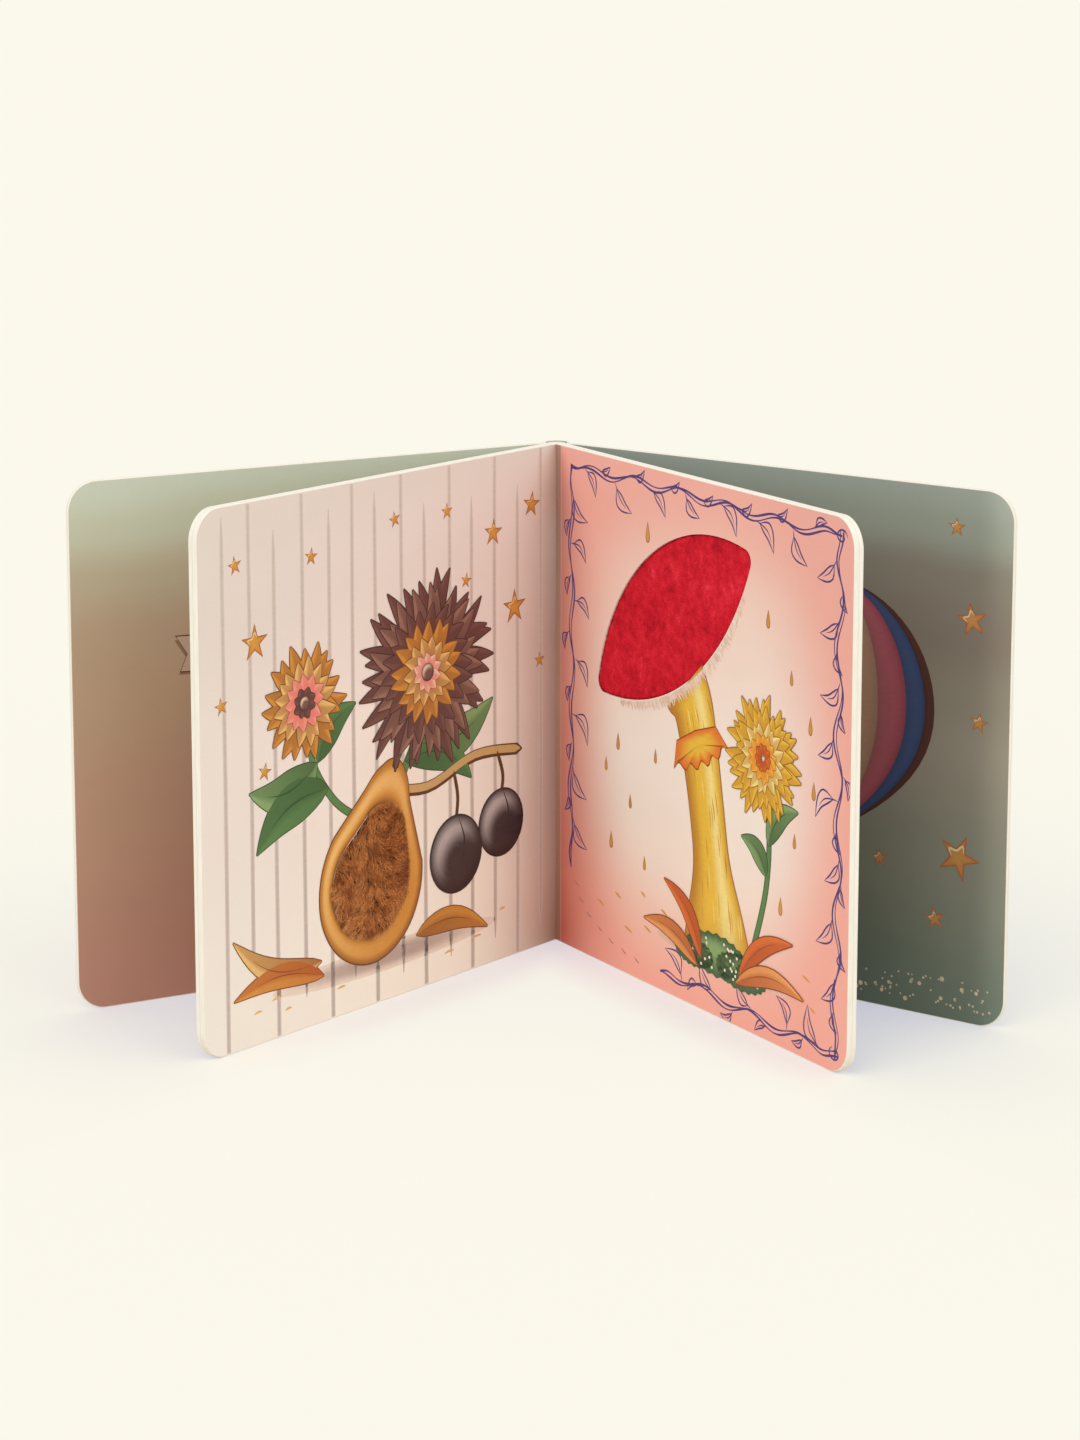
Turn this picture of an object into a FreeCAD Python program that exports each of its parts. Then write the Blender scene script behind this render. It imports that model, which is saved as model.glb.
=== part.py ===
import FreeCAD, Part
import math
import os

import Sketcher

# Board book standing fanned open: two inner leaves meet at the gutter, a cover
# stands behind each of them, and the spine panel bows behind their folds.
# Frame: X to the reader's right, Y away from the reader, Z up. The origin is the
# foot of the open gutter. Lengths are in millimetres, angles in degrees from the
# plane in which the closed book would stand.

SIZES = [
    ("page_width", 170.0, "fold to fore edge of every leaf"),
    ("page_height", 170.0, "foot to head of every leaf"),
    ("corner_radius", 9.5, "die-cut round of the fore corners"),
    ("page_board", 3.3, "thickness of an inner leaf, two sheets glued back to back"),
    ("cover_board", 1.8, "thickness of a cover"),
    ("spine_board", 0.8, "thickness of the spine panel"),
    ("soft_edge", 0.3, "worn round along the cut edges"),
    ("left_page_angle", 39.0, "left inner leaf"),
    ("right_page_angle", 30.6, "right inner leaf"),
    ("front_cover_angle", 61.2, "front cover"),
    ("back_cover_angle", 53.3, "back cover"),
    ("back_bow", 1.6, "how far the backs of the leaves bow behind their folds"),
    ("spine_bow", 2.9, "how far the spine panel bows; its wall is then 11.6 round"),
    ("hinge_gap", 0.3, "from the folded line to the cover's edge"),
    ("hinge_round", 0.9, "round of the cover's edge at the fold"),
    ("spine_gap", 0.2, "clear of a cover that lies flat"),
    ("window_depth", 1.65, "die-cut windows go through one sheet of the leaf"),
    ("patch_clearance", 0.15, "between a patch and the cut edge of its window"),
    ("belly_across", 94.3, "fold to the middle of the fur window's wide end"),
    ("belly_foot", 40.6, "foot of the leaf to the same point"),
    ("belly_rise", 15.4, "from the wide end's middle to the narrow end's"),
    ("belly_lean", 21.7, "of the window's narrow end toward the fold"),
    ("belly_wide_radius", 17.2, "wide end"),
    ("belly_narrow_radius", 9.6, "narrow end"),
    ("fur_height", 3.4, "fabric and pile of the fur patch"),
    ("fur_slope", 1.2, "where the pile falls away at its rim"),
    ("cap_across", 72.7, "fold to the middle of the velvet window"),
    ("cap_foot", 119.7, "foot of the leaf to the line between the cap's tips"),
    ("cap_tilt", 33.0, "of the cap, rising away from the fold"),
    ("cap_dome_radius", 73.0, "top of the cap"),
    ("cap_dome_rise", 26.6, "top of the cap above the line between its tips"),
    ("cap_rim_radius", 87.0, "underside of the cap"),
    ("cap_rim_drop", 16.9, "underside below that line"),
    ("cap_tip_radius", 3.9, "round of the two tips"),
    ("velvet_height", 1.1, "velvet lies below the face of the page"),
    ("velvet_slope", 0.3, "rim of the velvet"),
]

document = FreeCAD.newDocument("board_book")
sheet = document.addObject("Spreadsheet::Sheet", "Sizes")
for row, (alias, value, meaning) in enumerate(SIZES, start=1):
    sheet.set("A%d" % row, alias)
    sheet.set("B%d" % row, str(value))
    sheet.set("C%d" % row, meaning)
    sheet.setAlias("B%d" % row, alias)
document.recompute()

# Directions in plan, as expressions over the sheet's cells.
LEFT_SIN = "sin(Sizes.left_page_angle * 1 deg)"
LEFT_COS = "cos(Sizes.left_page_angle * 1 deg)"
RIGHT_SIN = "sin(Sizes.right_page_angle * 1 deg)"
RIGHT_COS = "cos(Sizes.right_page_angle * 1 deg)"
FRONT_COS = "cos(Sizes.front_cover_angle * 1 deg)"
BACK_COS = "cos(Sizes.back_cover_angle * 1 deg)"
BELLY_SIN = "sin(Sizes.belly_lean * 1 deg)"
BELLY_COS = "cos(Sizes.belly_lean * 1 deg)"
CAP_SIN = "sin(Sizes.cap_tilt * 1 deg)"
CAP_COS = "cos(Sizes.cap_tilt * 1 deg)"

# The outer folds, where the backs of the two leaves meet the covers.
LEFT_FOLD = ("-Sizes.page_board * %s" % LEFT_COS, "Sizes.page_board * %s" % LEFT_SIN)
RIGHT_FOLD = ("Sizes.page_board * %s" % RIGHT_COS, "Sizes.page_board * %s" % RIGHT_SIN)

START, END, CENTRE = 1, 2, 3
ORIGIN = (-1, 1)
Z_AXIS = FreeCAD.Vector(0, 0, 1)


def size(alias):
    return float(sheet.get(alias))


def worked_out(expression):
    """The value that an expression over the sheet has now."""
    value = sheet.evalExpression(expression)
    return float(getattr(value, "Value", value))


def point(x, y):
    return FreeCAD.Vector(x, y, 0)


def new_body(label):
    body = document.addObject("PartDesign::Body", label)
    body.Label = label
    return body


def origin_plane(body, role):
    return next(f for f in body.Origin.OriginFeatures if f.Role == role)


def new_sketch(body, name, role):
    sketch = body.newObject("Sketcher::SketchObject", name)
    sketch.AttachmentSupport = [(origin_plane(body, role), "")]
    sketch.MapMode = "FlatFace"
    return sketch


def drive(sketch, name, constraint, expression):
    """Adds a constraint that has a name and follows an expression."""
    index = sketch.addConstraint(constraint)
    sketch.renameConstraint(index, name)
    sketch.setExpression("Constraints." + name, expression)


def pin(sketch, name, vertex, x, y):
    """Holds a vertex at two expressions, measured from the sketch's origin."""
    for axis, place in (("X", x), ("Y", y)):
        value = worked_out(place)
        ends = (*ORIGIN, *vertex) if value >= 0 else (*vertex, *ORIGIN)
        expression = place if value >= 0 else "-(%s)" % place
        constraint = Sketcher.Constraint("Distance" + axis, *ends, abs(value))
        drive(sketch, name + axis.lower(), constraint, expression)


def close_outline(sketch, count):
    """Joins each line or arc of an outline to the next."""
    for index in range(count):
        following = (index + 1) % count
        sketch.addConstraint(Sketcher.Constraint("Coincident", index, END, following, START))


def pad(body, name, sketch, length):
    feature = body.newObject("PartDesign::Pad", name)
    feature.Profile = sketch
    feature.setExpression("Length", length)
    document.recompute()
    return feature


def dress_edges(body, kind, name, base, expression, wanted):
    """Fillets or chamfers the edges of base that pass a test."""
    names = ["Edge%d" % i for i, edge in enumerate(base.Shape.Edges, start=1) if wanted(edge)]
    feature = body.newObject("PartDesign::" + kind, name)
    feature.Base = (base, names)
    feature.setExpression({"Fillet": "Radius", "Chamfer": "Size"}[kind], expression)
    document.recompute()
    return feature


def from_fold(place):
    """Distance in plan from the line of the folds."""
    return math.hypot(place.x, place.y)


def is_corner(edge):
    """The short edges that a fore corner turns about lie at the head and foot."""
    ends = [v.Point for v in edge.Vertexes]
    level = len(ends) == 2 and abs(ends[0].z - ends[1].z) < 0.01
    at_fore_edge = from_fold(edge.CenterOfMass) > 0.9 * size("page_width")
    return level and at_fore_edge and edge.Length < 2 * size("page_board")


def is_cut_edge(edge):
    """The long edges round the faces of a leaf, away from the folds."""
    long_enough = edge.Length > 2 * size("page_board")
    return long_enough and from_fold(edge.CenterOfMass) > 4 * size("page_board")


def tilt_to_leaf(thing, prefix, angle):
    """Turns a body or a sketch from the plane of the closed book to its leaf."""
    thing.setExpression(prefix + "Rotation.Angle", "(90 - Sizes.%s) * 1 deg" % angle)
    document.recompute()


def leaf_plane(sketch, side, angle):
    """Lays a sketch on the printed face: X to the reader's right, Y up."""
    turn = FreeCAD.Rotation(FreeCAD.Vector(0, -side, 0), 90 - size(angle))
    sketch.AttachmentOffset = FreeCAD.Placement(FreeCAD.Vector(), turn)
    tilt_to_leaf(sketch, "AttachmentOffset.", angle)


def place_body(body, side, angle, x="0", y="0"):
    """Stands a body's XZ plane on a leaf's face, with its Z axis at a fold."""
    turn = FreeCAD.Rotation(FreeCAD.Vector(0, 0, -side), 90 - size(angle))
    body.Placement = FreeCAD.Placement(FreeCAD.Vector(), turn)
    body.setExpression("Placement.Base.x", x)
    body.setExpression("Placement.Base.y", y)
    tilt_to_leaf(body, "Placement.", angle)


def egg_outline(sketch, side, inset):
    """Leaning egg on its wide end: two round ends joined by straight flanks."""
    wide, narrow = "Sizes.belly_wide_radius - " + inset, "Sizes.belly_narrow_radius - " + inset
    low = ("%d * Sizes.belly_across" % side, "Sizes.belly_foot")
    high = (
        "%d * (Sizes.belly_across - Sizes.belly_rise * %s)" % (side, BELLY_SIN),
        "Sizes.belly_foot + Sizes.belly_rise * %s" % BELLY_COS,
    )
    low_at, high_at = (tuple(worked_out(e) for e in place) for place in (low, high))
    r_wide, r_narrow = worked_out(wide), worked_out(narrow)
    taper = math.asin((r_wide - r_narrow) / size("belly_rise"))
    turn = side * math.radians(size("belly_lean"))
    near, far = taper + turn, math.pi - taper + turn

    def flank(centre, radius, angle):
        return point(centre[0] + radius * math.cos(angle), centre[1] + radius * math.sin(angle))

    upper = Part.Circle(point(*high_at), Z_AXIS, r_narrow)
    lower = Part.Circle(point(*low_at), Z_AXIS, r_wide)
    sketch.addGeometry(Part.ArcOfCircle(upper, near, far))
    sketch.addGeometry(Part.LineSegment(flank(high_at, r_narrow, far), flank(low_at, r_wide, far)))
    sketch.addGeometry(Part.ArcOfCircle(lower, far, 2 * math.pi + near))
    sketch.addGeometry(Part.LineSegment(flank(low_at, r_wide, near), flank(high_at, r_narrow, near)))
    for index in range(4):
        sketch.addConstraint(Sketcher.Constraint("Tangent", index, END, (index + 1) % 4, START))
    pin(sketch, "narrow_", (0, CENTRE), *high)
    pin(sketch, "wide_", (2, CENTRE), *low)
    drive(sketch, "narrow_radius", Sketcher.Constraint("Radius", 0, r_narrow), narrow)
    drive(sketch, "wide_radius", Sketcher.Constraint("Radius", 2, r_wide), wide)


def cap_outline(sketch, side, inset):
    """Toadstool cap: a dome over a shallow rim, with rounded tips."""
    dome, rim = "Sizes.cap_dome_radius - " + inset, "Sizes.cap_rim_radius - " + inset
    tip = "Sizes.cap_tip_radius - " + inset
    sink = "(Sizes.cap_dome_radius - Sizes.cap_dome_rise)"
    lift = "(Sizes.cap_rim_radius - Sizes.cap_rim_drop)"
    dome_x = "Sizes.cap_across + %s * %s" % (sink, CAP_SIN)
    dome_y = "Sizes.cap_foot - %s * %s" % (sink, CAP_COS)
    rim_x = "Sizes.cap_across - %s * %s" % (lift, CAP_SIN)
    rim_y = "Sizes.cap_foot + %s * %s" % (lift, CAP_COS)
    r_dome, r_rim, r_tip = (worked_out(e) for e in (dome, rim, tip))
    d_sink, d_lift = worked_out(sink), worked_out(lift)
    # A tip's circle touches the dome's and the rim's from inside.
    reach = (r_dome - r_tip) ** 2 - (r_rim - r_tip) ** 2
    up = (reach - d_sink ** 2 + d_lift ** 2) / (2 * (d_sink + d_lift))
    out = math.sqrt((r_dome - r_tip) ** 2 - (up + d_sink) ** 2)
    tilt = math.radians(size("cap_tilt"))

    def turned(x, y):
        return point(
            size("cap_across") + x * math.cos(tilt) - y * math.sin(tilt),
            size("cap_foot") + x * math.sin(tilt) + y * math.cos(tilt),
        )

    def arc(centre, radius, first, last):
        circle = Part.Circle(turned(*centre), Z_AXIS, radius)
        return Part.ArcOfCircle(circle, first + tilt, last + tilt)

    on_dome = math.atan2(up + d_sink, out)
    on_rim = math.atan2(up - d_lift, out)
    sketch.addGeometry(arc((0, -d_sink), r_dome, on_dome, math.pi - on_dome))
    sketch.addGeometry(arc((-out, up), r_tip, math.pi - on_dome, math.pi - on_rim))
    sketch.addGeometry(arc((0, d_lift), r_rim, math.pi - on_rim, 2 * math.pi + on_rim))
    sketch.addGeometry(arc((out, up), r_tip, on_rim, on_dome))
    for index in range(4):
        sketch.addConstraint(Sketcher.Constraint("Tangent", index, END, (index + 1) % 4, START))
    pin(sketch, "dome_", (0, CENTRE), dome_x, dome_y)
    pin(sketch, "rim_", (2, CENTRE), rim_x, rim_y)
    drive(sketch, "dome_radius", Sketcher.Constraint("Radius", 0, r_dome), dome)
    drive(sketch, "rim_radius", Sketcher.Constraint("Radius", 2, r_rim), rim)
    drive(sketch, "tip_radius", Sketcher.Constraint("Radius", 1, r_tip), tip)
    sketch.addConstraint(Sketcher.Constraint("Equal", 1, 3))


def arc_through(first, last, radius):
    """Arc that bows away from the reader, from the right end to the left."""
    middle = (first + last) * 0.5
    chord = last - first
    drop = math.sqrt(radius ** 2 - (chord.Length / 2) ** 2)
    away = FreeCAD.Vector(-chord.y, chord.x, 0).normalize()
    away = away if away.y > 0 else away * -1
    centre = middle - away * drop
    angles = [math.atan2(p.y - centre.y, p.x - centre.x) for p in (first, last)]
    return Part.ArcOfCircle(Part.Circle(centre, Z_AXIS, radius), *angles)


def cut_window(body, name, outline, side, angle):
    sketch = new_sketch(body, name + "_outline", "XZ_Plane")
    leaf_plane(sketch, side, angle)
    outline(sketch, side, "0")
    before = body.Shape.Volume
    pocket = body.newObject("PartDesign::Pocket", name)
    pocket.Profile = sketch
    pocket.setExpression("Length", "Sizes.window_depth")
    document.recompute()
    if pocket.Shape.Volume > before - 1:
        raise RuntimeError(name + " cuts nothing")


def make_pages():
    """The two inner leaves and their folded backs, in one piece."""
    body = new_body("pages")
    sketch = new_sketch(body, "pages_in_plan", "XY_Plane")
    board, width = "Sizes.page_board", "Sizes.page_width"
    gutter = point(0, 0)
    left_fold = point(*(worked_out(e) for e in LEFT_FOLD))
    right_fold = point(*(worked_out(e) for e in RIGHT_FOLD))
    left_fore = ("-%s * %s" % (width, LEFT_SIN), "-%s * %s" % (width, LEFT_COS))
    right_fore = ("%s * %s" % (width, RIGHT_SIN), "-%s * %s" % (width, RIGHT_COS))
    left, right = (point(*(worked_out(e) for e in fore)) for fore in (left_fore, right_fore))
    spread = "((Sizes.left_page_angle + Sizes.right_page_angle) / 2 * 1 deg)"
    half_chord = "(%s * cos(%s))" % (board, spread)
    back_radius = "(%s ^ 2 + Sizes.back_bow ^ 2) / (2 * Sizes.back_bow)" % half_chord
    sketch.addGeometry(Part.LineSegment(gutter, right))
    sketch.addGeometry(Part.LineSegment(right, right + right_fold))
    sketch.addGeometry(Part.LineSegment(right + right_fold, right_fold))
    sketch.addGeometry(arc_through(right_fold, left_fold, worked_out(back_radius)))
    sketch.addGeometry(Part.LineSegment(left_fold, left + left_fold))
    sketch.addGeometry(Part.LineSegment(left + left_fold, left))
    sketch.addGeometry(Part.LineSegment(left, gutter))
    close_outline(sketch, 7)
    sketch.addConstraint(Sketcher.Constraint("Coincident", 0, START, *ORIGIN))
    pin(sketch, "right_fore_", (0, END), *right_fore)
    pin(sketch, "left_fore_", (6, START), *left_fore)
    pin(sketch, "right_fold_", (3, START), *RIGHT_FOLD)
    pin(sketch, "left_fold_", (3, END), *LEFT_FOLD)
    drive(sketch, "back", Sketcher.Constraint("Radius", 3, worked_out(back_radius)), back_radius)
    for face, fore, back in ((0, 1, 2), (6, 5, 4)):
        sketch.addConstraint(Sketcher.Constraint("Perpendicular", face, fore))
        sketch.addConstraint(Sketcher.Constraint("Parallel", face, back))
    leaves = pad(body, "leaves", sketch, "Sizes.page_height")
    corners = dress_edges(body, "Fillet", "fore_corners", leaves, "Sizes.corner_radius", is_corner)
    dress_edges(body, "Fillet", "cut_edges", corners, "Sizes.soft_edge", is_cut_edge)
    cut_window(body, "fur_window", egg_outline, -1, "left_page_angle")
    cut_window(body, "velvet_window", cap_outline, 1, "right_page_angle")
    return body


def make_cover(label, side, angle, fold):
    """A cover's section in plan, drawn out to the height of the book."""
    body = new_body(label)
    sketch = new_sketch(body, label + "_in_plan", "XY_Plane")
    near, far = "%d * Sizes.hinge_gap" % side, "%d * Sizes.page_width" % side
    x_near, x_far, board = worked_out(near), worked_out(far), size("cover_board")
    corners = [point(x_near, 0), point(x_far, 0), point(x_far, board), point(x_near, board)]
    for index in range(4):
        sketch.addGeometry(Part.LineSegment(corners[index], corners[(index + 1) % 4]))
    close_outline(sketch, 4)
    for index, direction in enumerate(("Horizontal", "Vertical", "Horizontal", "Vertical")):
        sketch.addConstraint(Sketcher.Constraint(direction, index))
    sketch.addConstraint(Sketcher.Constraint("PointOnObject", 0, START, -1))
    for name, vertex, place in (("near", (0, START), near), ("far", (0, END), far)):
        ends = (*ORIGIN, *vertex) if side > 0 else (*vertex, *ORIGIN)
        distance = Sketcher.Constraint("DistanceX", *ends, abs(worked_out(place)))
        drive(sketch, name, distance, "abs(%s)" % place)
    thickness = Sketcher.Constraint("DistanceY", *ORIGIN, 2, START, board)
    drive(sketch, "board", thickness, "Sizes.cover_board")
    board_pad = pad(body, label + "_board", sketch, "Sizes.page_height")

    def at_hinge(edge):
        middle = edge.CenterOfMass
        upright = edge.Length > 0.9 * size("page_height")
        return upright and from_fold(middle) < 0.6 * size("cover_board")

    fold_edge, corners, cut_edges = (label + end for end in ("_fold_edge", "_corners", "_cut_edges"))
    eased = dress_edges(body, "Fillet", fold_edge, board_pad, "Sizes.hinge_round", at_hinge)
    rounded = dress_edges(body, "Fillet", corners, eased, "Sizes.corner_radius", is_corner)
    dress_edges(body, "Fillet", cut_edges, rounded, "Sizes.soft_edge", is_cut_edge)
    place_body(body, side, angle, *fold)
    return body


def make_spine():
    """The panel between the covers, bowed behind the folds of the leaves."""
    body = new_body("spine")
    sketch = new_sketch(body, "spine_in_plan", "XY_Plane")
    left_end = (
        "%s - Sizes.cover_board * %s" % (LEFT_FOLD[0], FRONT_COS),
        "%s + Sizes.cover_board + Sizes.spine_gap" % LEFT_FOLD[1],
    )
    right_end = (
        "%s + Sizes.cover_board * %s" % (RIGHT_FOLD[0], BACK_COS),
        "%s + Sizes.cover_board + Sizes.spine_gap" % RIGHT_FOLD[1],
    )
    across = "(%s - (%s))" % (right_end[0], left_end[0])
    along = "(%s - (%s))" % (right_end[1], left_end[1])
    chord = "(%s ^ 2 + %s ^ 2)" % (across, along)
    inner = "(%s / 4 + Sizes.spine_bow ^ 2) / (2 * Sizes.spine_bow)" % chord
    outer = "%s + Sizes.spine_board" % inner
    right, left = (point(*(worked_out(e) for e in end)) for end in (right_end, left_end))
    inner_arc = arc_through(right, left, worked_out(inner))
    centre = inner_arc.Center
    grow = worked_out(outer) / worked_out(inner)
    right_out, left_out = (centre + (p - centre) * grow for p in (right, left))
    outer_arc = arc_through(right_out, left_out, worked_out(outer))
    sketch.addGeometry(inner_arc)
    sketch.addGeometry(outer_arc)
    sketch.addGeometry(Part.LineSegment(right, right_out))
    sketch.addGeometry(Part.LineSegment(left, left_out))
    pin(sketch, "right_", (0, START), *right_end)
    pin(sketch, "left_", (0, END), *left_end)
    drive(sketch, "inner", Sketcher.Constraint("Radius", 0, worked_out(inner)), inner)
    drive(sketch, "outer", Sketcher.Constraint("Radius", 1, worked_out(outer)), outer)
    sketch.addConstraint(Sketcher.Constraint("Coincident", 0, CENTRE, 1, CENTRE))
    for line, end in ((2, START), (3, END)):
        sketch.addConstraint(Sketcher.Constraint("Coincident", line, START, 0, end))
        sketch.addConstraint(Sketcher.Constraint("Coincident", line, END, 1, end))
        sketch.addConstraint(Sketcher.Constraint("PointOnObject", 0, CENTRE, line))
    pad(body, "spine_panel", sketch, "Sizes.page_height")
    return body


def make_patch(label, outline, side, angle, height, rim):
    """A fabric patch on the floor of its window, with a sloping rim."""
    body = new_body(label)
    sketch = new_sketch(body, label + "_outline", "XZ_Plane")
    sketch.setExpression("AttachmentOffset.Base.z", "-Sizes.window_depth")
    outline(sketch, side, "Sizes.patch_clearance")
    fabric = pad(body, label + "_fabric", sketch, "Sizes." + height)
    top = size("window_depth") - size(height)

    def on_top(edge):
        return all(abs(v.Point.y - top) < 0.01 for v in edge.Vertexes)

    dress_edges(body, "Chamfer", label + "_rim", fabric, "Sizes." + rim, on_top)
    place_body(body, side, angle)
    return body


BODIES = [
    make_pages(),
    make_cover("front_cover", -1, "front_cover_angle", LEFT_FOLD),
    make_cover("back_cover", 1, "back_cover_angle", RIGHT_FOLD),
    make_spine(),
    make_patch("fur_patch", egg_outline, -1, "left_page_angle", "fur_height", "fur_slope"),
    make_patch("velvet_patch", cap_outline, 1, "right_page_angle", "velvet_height", "velvet_slope"),
]

document.recompute()
for thing in document.Objects:
    if "Invalid" in thing.State or "Error" in thing.State:
        raise RuntimeError(thing.Label + " failed: " + ", ".join(thing.State))
for body in BODIES:
    if body.Shape.isNull() or not body.Shape.isValid() or len(body.Shape.Solids) != 1:
        raise RuntimeError(body.Label + " isn't one valid solid")

os.makedirs("parts", exist_ok=True)
for body in BODIES:
    body.Shape.exportStep("parts/%s.step" % body.Label)
    box = body.Shape.BoundBox
    extent = "%.1f x %.1f x %.1f" % (box.XLength, box.YLength, box.ZLength)
    print(body.Label, extent, "volume %.0f" % body.Shape.Volume)
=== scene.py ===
import math
import random

import bpy
from mathutils import Matrix, Vector, noise


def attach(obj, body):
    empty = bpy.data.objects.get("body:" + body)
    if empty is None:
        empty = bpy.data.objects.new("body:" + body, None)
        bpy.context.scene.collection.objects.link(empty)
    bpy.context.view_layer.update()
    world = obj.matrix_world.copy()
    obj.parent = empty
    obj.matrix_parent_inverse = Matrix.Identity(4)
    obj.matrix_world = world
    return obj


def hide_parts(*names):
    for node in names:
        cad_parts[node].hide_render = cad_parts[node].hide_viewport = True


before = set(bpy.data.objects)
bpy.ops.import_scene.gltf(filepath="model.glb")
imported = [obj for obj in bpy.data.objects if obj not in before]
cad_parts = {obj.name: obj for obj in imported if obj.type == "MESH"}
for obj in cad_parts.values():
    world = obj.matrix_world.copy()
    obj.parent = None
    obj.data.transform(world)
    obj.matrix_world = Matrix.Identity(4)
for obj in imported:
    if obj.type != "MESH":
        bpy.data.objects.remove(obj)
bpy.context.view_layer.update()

# Driving sizes, as in the frame's solids. Page drawings are in millimetres.
MM = 0.001
PAGE = 170.0
CORNER = 9.5
PAGE_BOARD = 3.3
COVER_BOARD = 1.8
SOFT_EDGE = 0.3
FOLD_CLEARANCE = 1.2
LEFT, RIGHT = -1, 1
LEFT_ANGLE, RIGHT_ANGLE, FRONT_ANGLE, BACK_ANGLE = 39.0, 30.6, 61.2, 53.3
WINDOW_DEPTH = 1.65
PATCH_CLEARANCE = 0.15
INK = 0.01

FUR_HEIGHT, VELVET_HEIGHT = 3.4, 1.1

BELLY = {"x": PAGE - 94.3, "y": 40.6, "rise": 15.4, "lean": 21.7, "wide": 17.2, "narrow": 9.6}
CAP = {"x": 72.7, "y": 119.7, "tilt": 33.0, "dome": 73.0, "rise": 26.6, "rim": 87.0, "drop": 16.9, "tip": 3.9}


def srgb(red, green, blue):
    """A colour written as it should look, as linear light with full alpha."""
    channels = [c / 255 for c in (red, green, blue)]
    return tuple(c / 12.92 if c <= 0.04045 else ((c + 0.055) / 1.055) ** 2.4 for c in channels) + (1.0,)


def mix(first, second, share):
    return tuple(a + (b - a) * share for a, b in zip(first, second))


def shade(colour, factor):
    return tuple(c * factor for c in colour[:3]) + (1.0,)


def smooth(low, high, value):
    share = min(1.0, max(0.0, (value - low) / (high - low)))
    return share * share * (3 - 2 * share)


# Faces of the book. Each has its lower left corner, as its reader sees it, and
# its direction to the reader's right.
def outward(side, angle):
    return Vector((side * math.sin(math.radians(angle)), -math.cos(math.radians(angle)), 0))


def backward(side, angle):
    return Vector((side * math.cos(math.radians(angle)), math.sin(math.radians(angle)), 0))


left_out, left_back = outward(LEFT, LEFT_ANGLE), backward(LEFT, LEFT_ANGLE)
right_out, right_back = outward(RIGHT, RIGHT_ANGLE), backward(RIGHT, RIGHT_ANGLE)
front_out, front_back = outward(LEFT, FRONT_ANGLE), backward(LEFT, FRONT_ANGLE)
back_out, back_back = outward(RIGHT, BACK_ANGLE), backward(RIGHT, BACK_ANGLE)
left_fold, right_fold = left_back * PAGE_BOARD, right_back * PAGE_BOARD


def face(corner, across):
    up = Vector((0, 0, 1))
    turn = Matrix((across, up, across.cross(up))).transposed().to_4x4()
    return Matrix.Translation(corner * MM) @ turn


FACES = {
    "left_page": face(left_out * PAGE, -left_out),
    "right_page": face(Vector((0, 0, 0)), right_out),
    "left_page_back": face(left_fold, left_out),
    "right_page_back": face(right_fold + right_out * PAGE, -right_out),
    "front_cover_inside": face(left_fold + front_out * PAGE, -front_out),
    "back_cover_inside": face(right_fold, back_out),
    "front_cover_outside": face(left_fold + front_back * COVER_BOARD, front_out),
    "back_cover_outside": face(right_fold + back_back * COVER_BOARD + back_out * PAGE, -back_out),
}
BODY_OF = {name: name.rsplit("_", 1)[0] if "cover" in name else "root" for name in FACES}


# Material nodes
class Paint:
    """A material being mixed from nodes. Sockets or plain values may be given."""

    def __init__(self, name):
        self.material = bpy.data.materials.new(name)
        self.material.use_nodes = True
        self.tree = self.material.node_tree
        self.shader = self.tree.nodes["Principled BSDF"]

    def node(self, kind, inputs=None, **settings):
        made = self.tree.nodes.new(kind)
        for key, value in settings.items():
            setattr(made, key, value)
        for key, value in (inputs or {}).items():
            self.feed(made.inputs[key], value)
        return made

    def feed(self, socket, value):
        if isinstance(value, bpy.types.NodeSocket):
            self.tree.links.new(value, socket)
        else:
            socket.default_value = value

    def math(self, operation, a, b=0.0, clamp=False):
        return self.node("ShaderNodeMath", {0: a, 1: b}, operation=operation, use_clamp=clamp).outputs[0]

    def place(self, scale=1.0):
        """The object's own coordinates, scaled."""
        where = self.node("ShaderNodeTexCoord").outputs["Object"]
        if scale == 1.0:
            return where
        steps = scale if isinstance(scale, tuple) else (scale,) * 3
        return self.node("ShaderNodeVectorMath", {0: where, 1: steps}, operation="MULTIPLY").outputs[0]

    def split(self, vector):
        return self.node("ShaderNodeSeparateXYZ", {0: vector}).outputs

    def noise(self, where, scale, detail=3.0, roughness=0.55):
        inputs = {"Vector": where, "Scale": scale, "Detail": detail, "Roughness": roughness}
        return self.node("ShaderNodeTexNoise", inputs).outputs["Fac"]

    def ramp(self, share, stops, interpolation="EASE"):
        made = self.node("ShaderNodeValToRGB", {"Fac": share})
        made.color_ramp.interpolation = interpolation
        elements = made.color_ramp.elements
        while len(elements) < len(stops):
            elements.new(0.5)
        for element, (position, colour) in zip(elements, stops):
            element.position, element.color = position, colour
        return made.outputs["Color"]

    def blend(self, share, a, b, kind="MIX"):
        made = self.node("ShaderNodeMix", data_type="RGBA", blend_type=kind)
        for index, value in ((0, share), (6, a), (7, b)):
            self.feed(made.inputs[index], value)
        return made.outputs[2]

    def bump(self, height, distance, strength=1.0):
        inputs = {"Height": height, "Distance": distance, "Strength": strength}
        self.feed(self.shader.inputs["Normal"], self.node("ShaderNodeBump", inputs).outputs[0])

    def finish(self, colour, roughness, **plain):
        self.feed(self.shader.inputs["Base Color"], colour)
        self.feed(self.shader.inputs["Roughness"], roughness)
        for name, value in plain.items():
            self.shader.inputs[name.replace("_", " ")].default_value = value
        return self.material


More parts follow.
